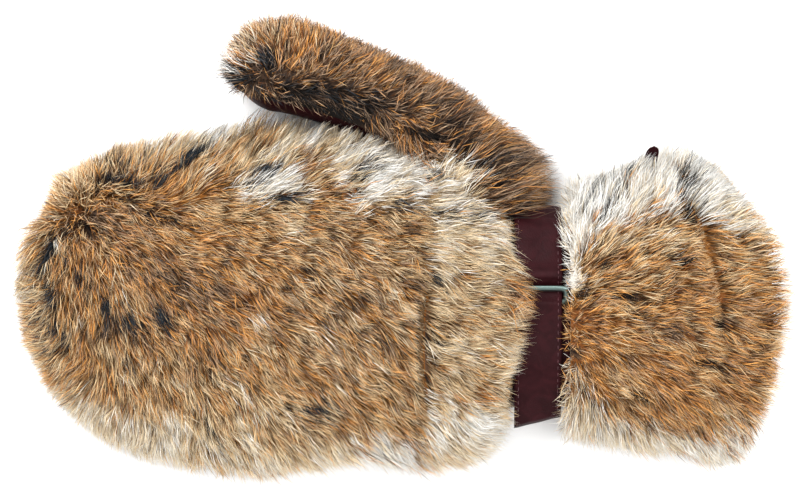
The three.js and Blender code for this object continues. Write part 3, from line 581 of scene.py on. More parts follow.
def patches_and_marks(table):
    """The table's broad patches, largest first, and its narrow dark marks."""
    narrow = 3.7
    patches = [row for row in table if row[3] > narrow or row[5] > DARK]
    marks = [row for row in table if row[3] <= narrow and row[5] <= DARK]
    return sorted(patches, key=lambda row: -row[2] * row[3]), marks


def drawn_tones(patches, own_tone, x, y, rng):
    """A tone at each point, drawn from patches painted over each other."""
    tone = np.full(len(x), float(own_tone))
    for row in patches:
        tone = np.where(rng.random(len(x)) < patch_cover(row, x, y), row[5], tone)
    return tone


def mean_tones(table, own_tone, x, y):
    """The smooth tone of patches and marks painted over each other."""
    patches, marks = patches_and_marks(table)
    tone = np.full(len(x), float(own_tone))
    for row in patches + marks:
        tone = tone + (row[5] - tone) * patch_cover(row, x, y)
    return tone


def unit(vectors):
    return vectors / np.maximum(np.linalg.norm(vectors, axis=-1, keepdims=True), 1e-9)


def scatter(form, rng, count, angles, start, end, grow):
    """Seeded stations and angles spread evenly over a form's surface, and its area in square mm."""
    rows, columns = 170, 120
    tip_run = form.tip * np.pi / 2
    runs = np.linspace(0, tip_run + end - start - form.tip, rows + 1)

    def station(run):
        if not form.tip:
            return start + run
        turn = np.minimum(run / form.tip, np.pi / 2)
        on_tip = form.start + form.tip - (form.tip + grow) * np.cos(turn)
        return on_tip + np.maximum(run - tip_run, 0)

    turns = np.linspace(*angles, columns + 1)
    points = form.point(station(runs)[:, None], turns[None, :], grow)
    diagonals = points[1:, 1:] - points[:-1, :-1], points[1:, :-1] - points[:-1, 1:]
    area = np.linalg.norm(np.cross(*diagonals), axis=-1).ravel()
    cell = rng.choice(area.size, size=count, p=area / area.sum())
    i = cell // columns + rng.random(count)
    j = cell % columns + rng.random(count)
    stations = station(runs[-1] * i / rows)
    return stations, angles[0] + (angles[1] - angles[0]) * j / columns, area.sum() / 2


def hair_template(bent):
    """A closed three-sided taper: its corners round the middle line, its rings up it, its faces."""
    bm = bmesh.new()
    bmesh.ops.create_cone(bm, cap_ends=True, segments=3, radius1=1, radius2=0, depth=1)
    bmesh.ops.remove_doubles(bm, verts=bm.verts, dist=1e-4)
    if bent:
        everything = bm.verts[:] + bm.edges[:] + bm.faces[:]
        bmesh.ops.bisect_plane(bm, geom=everything, plane_co=(0, 0, 0), plane_no=(0, 0, 1))
    bmesh.ops.triangulate(bm, faces=bm.faces)
    bmesh.ops.recalc_face_normals(bm, faces=bm.faces)
    bm.verts.index_update()
    corners = corner_points(bm.verts)
    faces = np.array([[v.index for v in face.verts] for face in bm.faces])
    bm.free()
    height = corners[:, 2] + 0.5
    corners[:, :2] = unit(corners[:, :2]) * (height < 0.9)[:, None]
    return corners[:, :2], height, faces


def hair_arrays(bent, hair):
    """Vertices, faces and OFBake map of hairs of one kind, with each hair's tone and height in the map."""
    corners, height, faces = hair_template(bent)
    ring = np.rint(height * 2).astype(int)
    swell = np.array([1.0, 0.85, 0.0])[ring]
    flat = 0.6
    wide = hair["width"][:, None, None] / 2
    points = hair["middle"][:, ring]
    points = points + hair["side"][:, None] * (corners[:, 0] * swell)[None, :, None] * wide
    points = points + hair["top"][:, None] * (corners[:, 1] * swell * flat)[None, :, None] * wide
    count = len(points)
    indices = faces[None] + (np.arange(count) * len(ring))[:, None, None]
    spread = 0.002
    u = hair["tone"][:, None] + spread * corners[None, :, 0]
    margin = 0.02
    v = margin + (1 - 2 * margin) * hair["share"][:, None] * height[None, :]
    uv = np.stack(np.broadcast_arrays(u, v), -1)[:, faces.ravel()]
    return points.reshape(-1, 3), indices.reshape(-1, 3), uv.reshape(-1, 2)


def join_hairs(name, hair, bent, material):
    """All the hairs of a pelt as one mesh: the bent ones have a joint half way up."""
    kinds = []
    for kind in (True, False):
        chosen = {key: values[bent == kind] for key, values in hair.items()}
        kinds.append(hair_arrays(kind, chosen))
    points = np.vstack([kind[0] for kind in kinds])
    corners = np.vstack((kinds[0][1], kinds[1][1] + len(kinds[0][0]))).ravel()
    uv = np.vstack([kind[2] for kind in kinds])
    mesh = bpy.data.meshes.new(name)
    mesh.vertices.add(len(points))
    mesh.vertices.foreach_set("co", points.astype(np.float32).ravel())
    mesh.loops.add(len(corners))
    mesh.loops.foreach_set("vertex_index", corners.astype(np.int32))
    mesh.polygons.add(len(corners) // 3)
    mesh.polygons.foreach_set("loop_start", np.arange(0, len(corners), 3, dtype=np.int32))
    mesh.polygons.foreach_set("use_smooth", np.ones(len(corners) // 3, bool))
    mesh.update(calc_edges=True)
    layer = mesh.uv_layers.new(name="OFBake")
    layer.data.foreach_set("uv", uv.astype(np.float32).ravel())
    return link_piece(mesh, name, material)


def depth_inside(outline, points):
    """How far points lie inside an outline seen from above, in mm. Outside it is negative."""
    corners = np.array(outline, float) + BOX_CENTRE[:2]
    ahead = np.roll(corners, -1, axis=0)
    x, y = points[:, 0:1], points[:, 1:2]
    side = ahead - corners
    share = ((x - corners[:, 0]) * side[:, 0] + (y - corners[:, 1]) * side[:, 1]) / (side**2).sum(1)
    share = np.clip(share, 0, 1)
    away = np.hypot(x - corners[:, 0] - share * side[:, 0], y - corners[:, 1] - share * side[:, 1]).min(1)
    between_ends = (corners[:, 1] > y) != (ahead[:, 1] > y)
    rise = np.where(side[:, 1] == 0, 1, side[:, 1])
    crosses = between_ends & (x < corners[:, 0] + (y - corners[:, 1]) / rise * side[:, 0])
    return np.where(crosses.sum(1) % 2 == 1, away, -away)


# How hair grows. A bent hair takes more triangles than a straight one, and BENT_SHARE of the hairs bend.
BENT_SHARE = 0.3
BENT_TRIANGLES = 10
STRAIGHT_TRIANGLES = 4
ROOT_DEPTH = FUR_GAP + 1.4

# How far a hair's tip stands over its root and lies beyond it, as shares of its length. Its bend stands
# BEND_RISE of the tip's rise over the root, and lies BEND_LAY of the length beyond it.
TIP_RISE, TIP_LAY = 0.41, 0.76
BEND_RISE, BEND_LAY = 0.7, 0.3

# How far tufts differ from each other: direction in radians, length and rise
TUFT_TURN, TUFT_LENGTH, TUFT_RISE = 0.17, 0.14, 0.2


def skin_axes(form, at, angle):
    """Unit vectors at places on a form's skin: along it, round it and out of it."""
    ahead, back, turn = 0.5, 0.1, 0.02
    along = unit(form.point(at + ahead, angle, ROOT_DEPTH) - form.point(at - back, angle, ROOT_DEPTH))
    around = unit(form.point(at, angle - turn, ROOT_DEPTH) - form.point(at, angle + turn, ROOT_DEPTH))
    normal = unit(np.cross(along, around))
    return along, np.cross(normal, along), normal


def find_tufts(rng, root, area):
    """The hairs that are the middles of tufts, and the number of the tuft that each hair belongs to."""
    fewest = 8
    spacing = bpy.context.scene.mitten_fur.tuft_spacing / MM
    tufts = max(fewest, int(area / spacing**2))
    middles = rng.choice(len(root), tufts, replace=False)
    tree = KDTree(tufts)
    for number, index in enumerate(middles):
        tree.insert(root[index], number)
    tree.balance()
    return middles, np.array([tree.find(point)[1] for point in root])


def lean_on_skin(form, at, turn, axes):
    """Unit vectors in which hair lies: its direction seen from above, laid on the skin."""
    along, around, normal = axes
    ahead = form.direction(at)
    flow = np.stack((np.cos(turn), np.sin(turn), np.zeros(len(at))), -1)
    forwards = (flow[:, :2] * ahead).sum(1)
    sideways = flow[:, 1] * ahead[:, 0] - flow[:, 0] * ahead[:, 1]
    tangent = unit(along * forwards[:, None] + around * sideways[:, None])
    most_level = 0.6
    level = most_level * np.clip(1 - normal[:, 2:3], 0, 1)
    lean = unit(tangent * (1 - level) + flow * level)
    into = np.minimum((lean * normal).sum(1), 0)
    return unit(lean - normal * into[:, None])


def trim_to_outline(rng, outline, root, half_way, tip, wisps):
    """Hairs near the outline are drawn out or trimmed to it, each to a length of its own."""
    longest_wisp, shy, floor = 6, 0.6, 0.6
    rim, reach_needed, shortest, longest = 12, 2, 0.3, 1.4
    room = depth_inside(outline, root)
    over = -depth_inside(outline, tip)
    spare = np.minimum(rng.exponential(wisps, len(root)), longest_wisp) - shy
    reach = (room + spare) / np.maximum(room + over, 0.1)
    near = (room < rim) & (room + over > reach_needed)
    drawn_out = np.where(near, np.clip(reach, 1, longest), 1)
    trim = np.where(over > spare, np.clip(reach, shortest, 1), drawn_out)[:, None]
    half_way, tip = (root + (points - root) * trim for points in (half_way, tip))
    for points in (half_way, tip):
        points[:, 2] = np.maximum(points[:, 2], floor)
    return half_way, tip


def hair_tones(rng, patches, tone, seed, root, tip, middles, tuft):
    """Each hair's tone: its tuft's or its own, made uneven, with the narrow dark marks over it."""
    count = len(root)
    shown_share, from_tuft, own_spread = 0.6, 0.6, 0.055
    shown = root + (tip - root) * shown_share - BOX_CENTRE
    foot = root - BOX_CENTRE
    x, y = shown[:, 0], shown[:, 1]
    broad, marks = patches_and_marks(patches)
    tuft_tone = drawn_tones(broad, tone, x[middles], y[middles], rng)
    unlike = np.interp(tuft_tone, (0.42, 0.5, 0.68, 0.8), (0.045, 0.1, 0.09, 0.04))
    tuft_tone = tuft_tone + unlike * rng.normal(0, 1, len(middles))
    own = drawn_tones(broad, tone, x, y, rng)
    tones = np.where(rng.random(count) < from_tuft, tuft_tone[tuft], own) + rng.normal(0, own_spread, count)
    tones = tones + 0.045 * waves(x, y, 24, seed + 3) + 0.03 * waves(x, y, 9, seed + 4)

    # Some hairs are darker than those round them, and some are one or two steps paler
    chance = rng.random(count)
    darker = np.interp(tones, (0.68, 0.9), (0.2, 0.09))
    paler = 0.07
    tones = tones - darker * (chance < 0.14) + paler * (chance > 0.82) + paler * (chance > 0.96)
    foot_share, mark_spread, margin = 0.4, 0.02, 0.015
    for row in marks:
        at_foot = foot_share * patch_cover(row, foot[:, 0], foot[:, 1])
        marked = rng.random(count) < np.maximum(patch_cover(row, x, y), at_foot)
        tones = np.where(marked, row[5] + rng.normal(0, mark_spread, count), tones)
    return np.clip(tones, margin, 1 - margin)


def grow_hair(
    name, form, *, triangles, length, angles, start, end, combing, patches, tone, seed, material, outline,
    keep, stop=None, change=None, wisps=1.3, mess=2.0,
):
    """One pelt's hair: rooted in the underfur, combed, gathered in tufts, trimmed and toned."""
    settings = bpy.context.scene.mitten_fur
    rng = np.random.default_rng(seed)
    count = int(triangles / (BENT_SHARE * BENT_TRIANGLES + (1 - BENT_SHARE) * STRAIGHT_TRIANGLES))
    roots_for_each = 12
    at, angle, area = scatter(form, rng, roots_for_each * count, angles, start, end, ROOT_DEPTH)
    root = form.point(at, angle, ROOT_DEPTH)
    kept = keep(root)
    at, angle, root = at[kept][:count], angle[kept][:count], root[kept][:count]
    count = len(at)
    bent = np.arange(count) < BENT_SHARE * count
    axes = skin_axes(form, at, angle)
    normal = axes[2]
    middles, tuft = find_tufts(rng, root, area * kept.mean())

    def by_tuft(middle, spread):
        return rng.normal(middle, spread, len(middles))[tuft]

    # Direction and length. Where the combing parts, the hair lies more untidily and stands up.
    x, y = root[:, 0] - BOX_CENTRE[0], root[:, 1] - BOX_CENTRE[1]
    turn, agreed = combed(combing, x, y)
    well_agreed, widest_parting = 0.93, 0.7
    parting = np.clip(well_agreed - agreed, 0, widest_parting)
    turn = turn + 0.2 * waves(x, y, 17, seed + 1) + 0.14 * waves(x, y, 7, seed + 2)
    turn = turn + by_tuft(0, TUFT_TURN)
    turn = turn + rng.normal(0, np.where(bent, 0.12, 0.25) + mess * parting)
    shortest, longest, straight_length, length_spread = 0.45, 1.35, 0.8, 0.13
    size = length * by_tuft(1, TUFT_LENGTH) * rng.normal(1, length_spread, count)
    size = np.clip(size, shortest * length, longest * length) * np.where(bent, 1, straight_length)
    if change is not None:
        turn, size = change(rng, root, at, turn, size)
    lean = lean_on_skin(form, at, turn, axes)
    if stop is not None:
        size = size * stop(root, lean, size)

    # The bend and the tip, drawn towards the tip of the tuft's middle hair
    rise = by_tuft(1, TUFT_RISE) * rng.normal(1, np.where(bent, 0.15, 0.35))
    rise = TIP_RISE * np.clip(rise, 0.3, 2)
    parting_rise, bend_spread, most_bend = 0.7, 0.09, 0.2
    rise = rise + parting_rise * parting
    bend = np.clip(rng.normal(0, bend_spread, count), -most_bend, most_bend)
    across = unit(np.cross(normal, lean))
    half_way = root + (normal * (rise * BEND_RISE)[:, None] + lean * BEND_LAY) * size[:, None]
    tip = root + (normal * rise[:, None] + lean * TIP_LAY + across * bend[:, None]) * size[:, None]
    target = tip[middles][tuft]
    least_pull, tip_pull, bend_pull = 0.3, 0.8, 0.12
    pull = settings.gather * rng.uniform(least_pull, 1, count)[:, None]
    tip = tip + (target - tip) * pull * tip_pull
    half_way = half_way + (target - half_way) * pull * bend_pull
    half_way, tip = trim_to_outline(rng, outline, root, half_way, tip, wisps)

    tones = hair_tones(rng, patches, tone, seed, root, tip, middles, tuft)

    # How much of the change from root colour to tip colour a hair shows: some stay dark to the tip
    stay_dark = 0.26
    share = np.where(
        rng.random(count) < stay_dark, rng.uniform(0.3, 0.62, count), rng.uniform(0.8, 1, count)
    )
    hair_end = unit(tip - root)
    side = unit(np.cross(normal, hair_end))
    hair = {
        "middle": np.stack((root, half_way, tip), 1),
        "side": side,
        "top": np.cross(hair_end, side),
        "width": settings.hair_width / MM * rng.uniform(0.65, 1.3, count) * np.where(bent, 1, 0.85),
        "tone": tones,
        "share": share,
    }
    return join_hairs(name, hair, bent, material)


# Materials


def material_named(name):
    material = bpy.data.materials.new(name)
    material.use_nodes = True
    return material, material.node_tree.nodes["Principled BSDF"]


def add_node(material, kind, values=None, links=None, **settings):
    """Adds a node with its settings, input values and links from other nodes' sockets."""
    node = material.node_tree.nodes.new(kind)
    for key, value in settings.items():
        setattr(node, key, value)
    for key, value in (values or {}).items():
        node.inputs[key].default_value = value
    for key, socket in (links or {}).items():
        material.node_tree.links.new(socket, node.inputs[key])
    return node


def set_ramp(node, stops):
    """Gives a ColorRamp its stops: places and sRGB hex colours."""
    elements = node.color_ramp.elements
    while len(elements) > 1:
        elements.remove(elements[-1])
    elements[0].position = stops[0][0]
    elements[0].color = (*linear(stops[0][1]), 1)
    for place, hex_code in stops[1:]:
        elements.new(place).color = (*linear(hex_code), 1)


def texture(material, kind, size_mm, values=None, **settings):
    """A texture with features of a given size, laid out in the object's own coordinates."""
    place = add_node(material, "ShaderNodeTexCoord")
    return add_node(
        material, kind, values={"Scale": 1 / (size_mm * MM), **(values or {})},
        links={"Vector": place.outputs["Object"]}, **settings,
    )


def set_range(material, socket, **values):
    """Maps a value from one range to another: the keywords are the range's ends, such as to_min."""
    inputs = {key.replace("_", " ").title(): value for key, value in values.items()}
    return add_node(material, "ShaderNodeMapRange", values=inputs, links={"Value": socket})


def shaded_ramp(material, socket, colour, shade):
    """A ramp from a shade of a colour to the colour itself."""
    ramp = add_node(material, "ShaderNodeValToRGB", links={"Fac": socket})
    ramp.color_ramp.elements[0].color = (*(shade * c for c in colour), 1)
    ramp.color_ramp.elements[1].color = (*colour, 1)
    return ramp


def finish_material(material, shader, links, values):
    """Links sockets to a shader's inputs, sets its other inputs and gives the material."""
    for key, socket in links.items():
        material.node_tree.links.new(socket, shader.inputs[key])
    for key, value in values.items():
        shader.inputs[key].default_value = value
    return material


# A Mix node's sockets when it mixes colours: its factor, its two colours and its result
MIX_FACTOR, MIX_FIRST, MIX_SECOND, MIX_RESULT = 0, 6, 7, 2

# Stops of the hair's colours by tone: at the tips, and at the roots and in the underfur
# At DARK the stops are near black. They colour the fur's dark marks, and also the painted shade in the
# thumb's hollow and along the seams.
TIP_COLOURS = [
    (0.0, "39434B"), (0.08, "2C2D2F"), (0.14, "1E150F"), (0.22, "5A4434"), (0.3, "BA9C80"),
    (0.36, "D6B491"), (0.42, "F2A556"), (0.47, "FCB865"), (0.53, "F1CB97"), (0.65, "FADDAE"),
    (0.79, "FEF0D2"), (0.95, "FEFDFA"),
]
ROOT_COLOURS = [
    (0.0, "1A2026"), (0.08, "151312"), (0.14, "0A0705"), (0.22, "1A110B"), (0.3, "4A3628"),
    (0.36, "5C4531"), (0.42, "74431F"), (0.47, "8E5A26"), (0.53, "3F2C19"), (0.65, "76593A"),
    (0.79, "C8AF88"), (0.95, "DCD9D2"),
]


def fur_material():
    """Rabbit guard hair: keratin, matte with a soft gloss, dark at the root and lighter at the tip."""
    material, shader = material_named("rabbit_guard_hair")
    place = add_node(material, "ShaderNodeUVMap", uv_map="OFBake")
    split = add_node(material, "ShaderNodeSeparateXYZ", links={"Vector": place.outputs["UV"]})
    tip = add_node(material, "ShaderNodeValToRGB", links={"Fac": split.outputs["X"]})
    set_ramp(tip, TIP_COLOURS)
    root = add_node(material, "ShaderNodeValToRGB", links={"Fac": split.outputs["X"]})
    set_ramp(root, ROOT_COLOURS)
    blend = set_range(material, split.outputs["Y"], from_min=0.27, from_max=0.75)
    blend.interpolation_type = "SMOOTHSTEP"
    ends = {MIX_FIRST: root.outputs["Color"], MIX_SECOND: tip.outputs["Color"]}
    colour = add_node(
        material, "ShaderNodeMix", data_type="RGBA", links={MIX_FACTOR: blend.outputs["Result"], **ends}
    )
    return finish_material(
        material, shader, links={"Base Color": colour.outputs[MIX_RESULT]},
        values={"Roughness": 0.7, "Specular IOR Level": 0.2},
    )


def underfur_material():
    """Rabbit underfur: dense soft wool at the foot of the hair, darker than the hair over it."""
    material, shader = material_named("rabbit_underfur")
    tone = add_node(material, "ShaderNodeAttribute", attribute_name="tone")
    ramp = add_node(material, "ShaderNodeValToRGB", links={"Fac": tone.outputs["Fac"]})
    set_ramp(ramp, ROOT_COLOURS)
    wool = texture(material, "ShaderNodeTexNoise", size_mm=1.1, values={"Detail": 3.0})
    shade = set_range(material, wool.outputs["Fac"], to_min=0.55, to_max=1.15)
    colour = add_node(
        material, "ShaderNodeMix", data_type="RGBA", blend_type="MULTIPLY", values={MIX_FACTOR: 1.0},
        links={MIX_FIRST: ramp.outputs["Color"], MIX_SECOND: shade.outputs["Result"]},
    )
    bump = add_node(
        material, "ShaderNodeBump", values={"Strength": 0.8, "Distance": 0.0008},
        links={"Height": wool.outputs["Fac"]},
    )
    return finish_material(
        material, shader,
        links={"Base Color": colour.outputs[MIX_RESULT], "Normal": bump.outputs["Normal"]},
        values={"Roughness": 0.95, "Specular IOR Level": 0.2},
    )


def leather_material(name, grain_mm, colour, worn, roughness):
    """Grained leather: small rounded pebbles, a soft satin finish and paler wear on what stands proud."""
    material, shader = material_named(name)
    pebbles = texture(material, "ShaderNodeTexVoronoi", grain_mm, feature="SMOOTH_F1")
    creases = texture(
        material, "ShaderNodeTexNoise", size_mm=7, values={"Detail": 5.0, "Distortion": 0.8}
    )
    rub = set_range(material, creases.outputs["Fac"], from_min=0.42, from_max=0.75, to_max=0.8)
    mixed = add_node(
        material, "ShaderNodeMix", data_type="RGBA",
        values={MIX_FIRST: (*colour, 1), MIX_SECOND: (*worn, 1)}, links={MIX_FACTOR: rub.outputs["Result"]},
    )
    height = add_node(
        material, "ShaderNodeMath", values={1: 0.6},
        links={0: pebbles.outputs["Distance"], 2: creases.outputs["Fac"]}, operation="MULTIPLY_ADD",
    )
    bump = add_node(
        material, "ShaderNodeBump", values={"Strength": 0.55, "Distance": 0.0004},
        links={"Height": height.outputs["Value"]},
    )
    smoother, rougher = 0.12, 0.14
    gloss = set_range(
        material, creases.outputs["Fac"], to_min=roughness - smoother, to_max=roughness + rougher
    )
    return finish_material(
        material, shader,
        links={
            "Base Color": mixed.outputs[MIX_RESULT], "Normal": bump.outputs["Normal"],
            "Roughness": gloss.outputs["Result"],
        },
        values={"Specular IOR Level": 0.06},
    )


def thread_material(colour):
    """Waxed polyester thread: a fine twist with a slight gloss."""
    material, shader = material_named("waxed_thread")
    twist = texture(
        material, "ShaderNodeTexWave", size_mm=10, values={"Distortion": 1.0}, bands_direction="DIAGONAL"
    )
    ramp = shaded_ramp(material, twist.outputs["Fac"], colour, shade=0.6)
    return finish_material(
        material, shader, links={"Base Color": ramp.outputs["Color"]}, values={"Roughness": 0.5}
    )


def steel_material(colour):
    """Nickel-plated steel wire: bright, with fine rubbed scratches."""
    material, shader = material_named("nickel_plated_wire")
    scratches = texture(material, "ShaderNodeTexNoise", size_mm=0.4, values={"Detail": 4.0})
    gloss = set_range(material, scratches.outputs["Fac"], to_min=0.2, to_max=0.5)
    # The base colour's grey-green tint is a painted reflection.
    stain = shaded_ramp(material, scratches.outputs["Fac"], colour, shade=0.55)
    return finish_material(
        material, shader,
        links={"Base Color": stain.outputs["Color"], "Roughness": gloss.outputs["Result"]},
        values={"Metallic": 1.0},
    )


# The strap's route: y and z of the middle of its thickness, in millimetres
STRAP_PATH = [
    (15.8, 12), (17.8, 20), (17.5, 29), (12.5, 36), (4, 40.2), (-4, 43.0), (-9, 46.2), (-12.5, 46.8),
    (-15.2, 45.1), (-17.4, 43.5), (-19.8, 44.1), (-23.6, 46.0), (-28, 45.2), (-36, 43.6), (-44, 42.8),
    (-52, 41.0), (-60, 37.6), (-68, 33), (-76, 27.5),
]
STRAP_WIDTH = 20.6
STRAP_THICKNESS = 2.2
STRAP_CENTRE_X = 60.4
RING_FRONT_BAR = (-17.4, 46.6)
RING_BACK_BAR = (-23.6, 42.8)
RING_WIRE_RADIUS = 1.3
RING_SIDE_PLAY = 0.5
RING_CORNER_POWER = 0.3


def strap_route():
    """Closely spaced points of the strap's middle line, their run along it and their directions."""
    knots = np.array(STRAP_PATH, float)
    padded = np.vstack((2 * knots[0] - knots[1], knots, 2 * knots[-1] - knots[-2]))
    pieces = []
    s = np.linspace(0, 1, 24, endpoint=False)[:, None]
    for a, b, c, d in zip(padded, padded[1:], padded[2:], padded[3:]):
        pieces.append(
            0.5 * (2 * b + (c - a) * s + (2 * a - 5 * b + 4 * c - d) * s**2 + (3 * b - a - 3 * c + d) * s**3)
        )
    points = np.vstack(pieces + [knots[-1:]])
    run = np.append(0, np.linalg.norm(np.diff(points, axis=0), axis=1).cumsum())
    return points, run


def strap_point(share, across, rise):
    """Points of the strap: share along it, across it from its middle and above its middle, in mm."""
    points, run = strap_route()
    place = share * run[-1]
    y = np.interp(place, run, points[:, 0])
    z = np.interp(place, run, points[:, 1])
    tangent = unit(np.gradient(points, run, axis=0))
    ty = np.interp(place, run, tangent[:, 0])
    tz = np.interp(place, run, tangent[:, 1])
    end_slant, slant_from = 0.25, 0.8
    slant = end_slant * np.interp(share, (slant_from, 1), (0, 1)) * across
    return np.stack((STRAP_CENTRE_X + across, y + slant + tz * -rise, z - ty * rise), -1)


# Operators: one for each piece or group of like pieces


class MITTEN_OT_hides(Operator):
    """Builds the hides: the skin side of the pelts, which lines the hollow"""

    bl_idname = "mitten.hides"
    bl_label = "Hides"

    def execute(self, context):
        colour = context.scene.mitten_leather
        suede = leather_material("chamois_hide", 0.6, tuple(colour.hide), linear("E0CFB2"), 0.85)
        hand = wall(
            "hand_hide_lining", HAND, suede, angles=UPPER_ANGLES, depths=HIDE_DEPTHS,
            start=HAND.start, end=HAND_END, steps=(64, 44),
        )
        thumb = wall(
            "thumb_hide_lining", THUMB, suede, angles=THUMB_FUR_ANGLES, depths=HIDE_DEPTHS,
            start=THUMB.start, end=thumb_end, steps=(56, 24),
        )
        cuff = wall(
            "cuff_hide_lining", CUFF, suede, angles=UPPER_ANGLES, depths=HIDE_DEPTHS,
            start=CUFF_START, end=cuff_mouth, steps=(36, 44),
        )
        for piece, node in ((hand, "hand_hide"), (thumb, "thumb_hide"), (cuff, "cuff_hide")):
            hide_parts(node)
        return {"FINISHED"}


class MITTEN_OT_leather(Operator):
    """Builds the leather of the palm, thumb, wrist and cuff"""

    bl_idname = "mitten.leather"
    bl_label = "Leather"

    def execute(self, context):
        colour = context.scene.mitten_leather
        leather = leather_material(
            "burgundy_sheepskin", 0.9, tuple(colour.leather), tuple(colour.leather_worn), 0.5
        )
        palm = wall(
            "palm_leather_skin", HAND, leather, angles=LOWER_ANGLES, depths=LEATHER_DEPTHS,
            start=HAND.start, end=HAND_END, steps=(64, 44),
        )
        inner_end = THUMB_FUR_ANGLES[0] + 2 * np.pi - 3 * SEAM_ANGLE_GAP
        inner = (THUMB_FUR_ANGLES[1] + SEAM_ANGLE_GAP, inner_end)
        thumb = wall(
            "thumb_leather_skin", THUMB, leather, angles=inner, depths=LEATHER_DEPTHS,
            start=THUMB.start, end=thumb_end, steps=(56, 36),
        )
        cuff = wall(
            "cuff_leather_skin", CUFF, leather, angles=LOWER_ANGLES, depths=LEATHER_DEPTHS,
            start=CUFF_START, end=cuff_mouth, steps=(36, 44),
        )
        wrist = self.wrist(leather)
        nodes = ("palm_leather", "thumb_leather", "cuff_leather", "wrist_band")
        for piece, node in zip((palm, thumb, cuff, wrist), nodes):
            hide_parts(node)
        self.welt_tab(leather)
        return {"FINISHED"}

    def welt_tab(self, leather):
        """The rounded end of the side seam's welt, which stands out of the fur on the cuff's thumb side."""
        width, thickness, rounding = 5.6, 2.0, 0.2

        def place(flat):
            share = flat[:, 1] + 0.5
            left = np.clip((1 - share) / rounding, 0, 1)
            middle = WELT_TAB_FOOT + (WELT_TAB_END - WELT_TAB_FOOT) * share[:, None]
            across = flat[:, 0] * width * np.sqrt(left * (2 - left))
            return middle + np.stack((across, 0 * across, (flat[:, 2] - 0.5) * thickness), -1)

        return finish_piece(net(8, 20), "cuff_welt_tab", leather, place)

    def wrist(self, leather):
        """A band all round, so it starts as a ring and not as a block."""
        bm = bmesh.new()
        around, along = 96, 20
        bmesh.ops.create_circle(bm, segments=around, radius=1)
        edges = bm.edges[:]
        for step in range(1, along + 1):
            made = bmesh.ops.extrude_edge_only(bm, edges=edges)["geom"]
            verts = [item for item in made if isinstance(item, bmesh.types.BMVert)]
            edges = [item for item in made if isinstance(item, bmesh.types.BMEdge)]
            for vertex in verts:
                vertex.co.z = step / along
        bmesh.ops.recalc_face_normals(bm, faces=bm.faces)
        points = corner_points(bm.verts)
        angle = np.arctan2(points[:, 1], points[:, 0])
        at = WAIST_START + (WAIST_END - WAIST_START) * points[:, 2]
        crease_depth, crease_length, rough_radius, seed = 0.35, 8, 40, 31
        on_top = np.sin(angle) > 0.1
        crease = crease_depth * waves(at, angle * rough_radius, crease_length, seed) * on_top
        move_corners(bm.verts, WAIST.point(at, angle, crease))
        bmesh.ops.solidify(bm, geom=bm.faces[:], thickness=LEATHER_THICKNESS)
        return finish_piece(bm, "wrist_band_skin", leather)


class MITTEN_OT_underfur(Operator):
    """Builds the underfur of each pelt, in which the hair is rooted"""

    bl_idname = "mitten.underfur"
    bl_label = "Underfur"

    def execute(self, context):
        wool = underfur_material()
        gap = 0.2
        common = dict(depths=UNDERFUR_DEPTHS, steps=(56, 40))
        finger = wall(
            "finger_underfur", HAND, wool, angles=UPPER_ANGLES, start=HAND.start,
            end=CROSS_SEAM_X - gap, **common
        )
        heel = wall(
            "heel_underfur", Form(HAND_ROWS), wool, angles=UPPER_ANGLES, start=CROSS_SEAM_X + gap,
            end=HAND_END, **common
        )
        thumb = wall(
            "thumb_underfur", THUMB, wool, angles=THUMB_FUR_ANGLES, start=THUMB.start,
            end=lambda angle: thumb_end(angle, UNDERFUR_DEPTHS[1]), **common
        )
        cuff = wall(
            "cuff_underfur", CUFF, wool, angles=UPPER_ANGLES, start=CUFF_START,
            end=lambda angle: cross_seam_station(angle) - gap, **common
        )
        band = wall(
            "cuff_band_underfur", CUFF, wool, angles=UPPER_ANGLES, depths=UNDERFUR_DEPTHS,
            start=lambda angle: cross_seam_station(angle) + gap, end=cuff_mouth, steps=(30, 56)
        )
        pieces = (
            (finger, "finger_fur", "tawny_fur", HAND_PATCHES, TAWNY),
            (heel, "heel_fur", "pale_fur", HEEL_PATCHES, SAND),
            (thumb, "thumb_fur", "brown_fur", THUMB_PATCHES, BROWN),
            (cuff, "cuff_fur", "pale_fur", CUFF_PATCHES, RUST),
            (band, "cuff_band_fur", "tawny_fur", CUFF_PATCHES, RUST),
        )
        for piece, node, slot, patches, tone in pieces:
            points = mesh_points(piece.data) / MM
            attribute = piece.data.attributes.new("tone", "FLOAT", "POINT")
            attribute.data.foreach_set("value", mean_tones(patches, tone, points[:, 0], points[:, 1]))
            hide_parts(node)
        return {"FINISHED"}


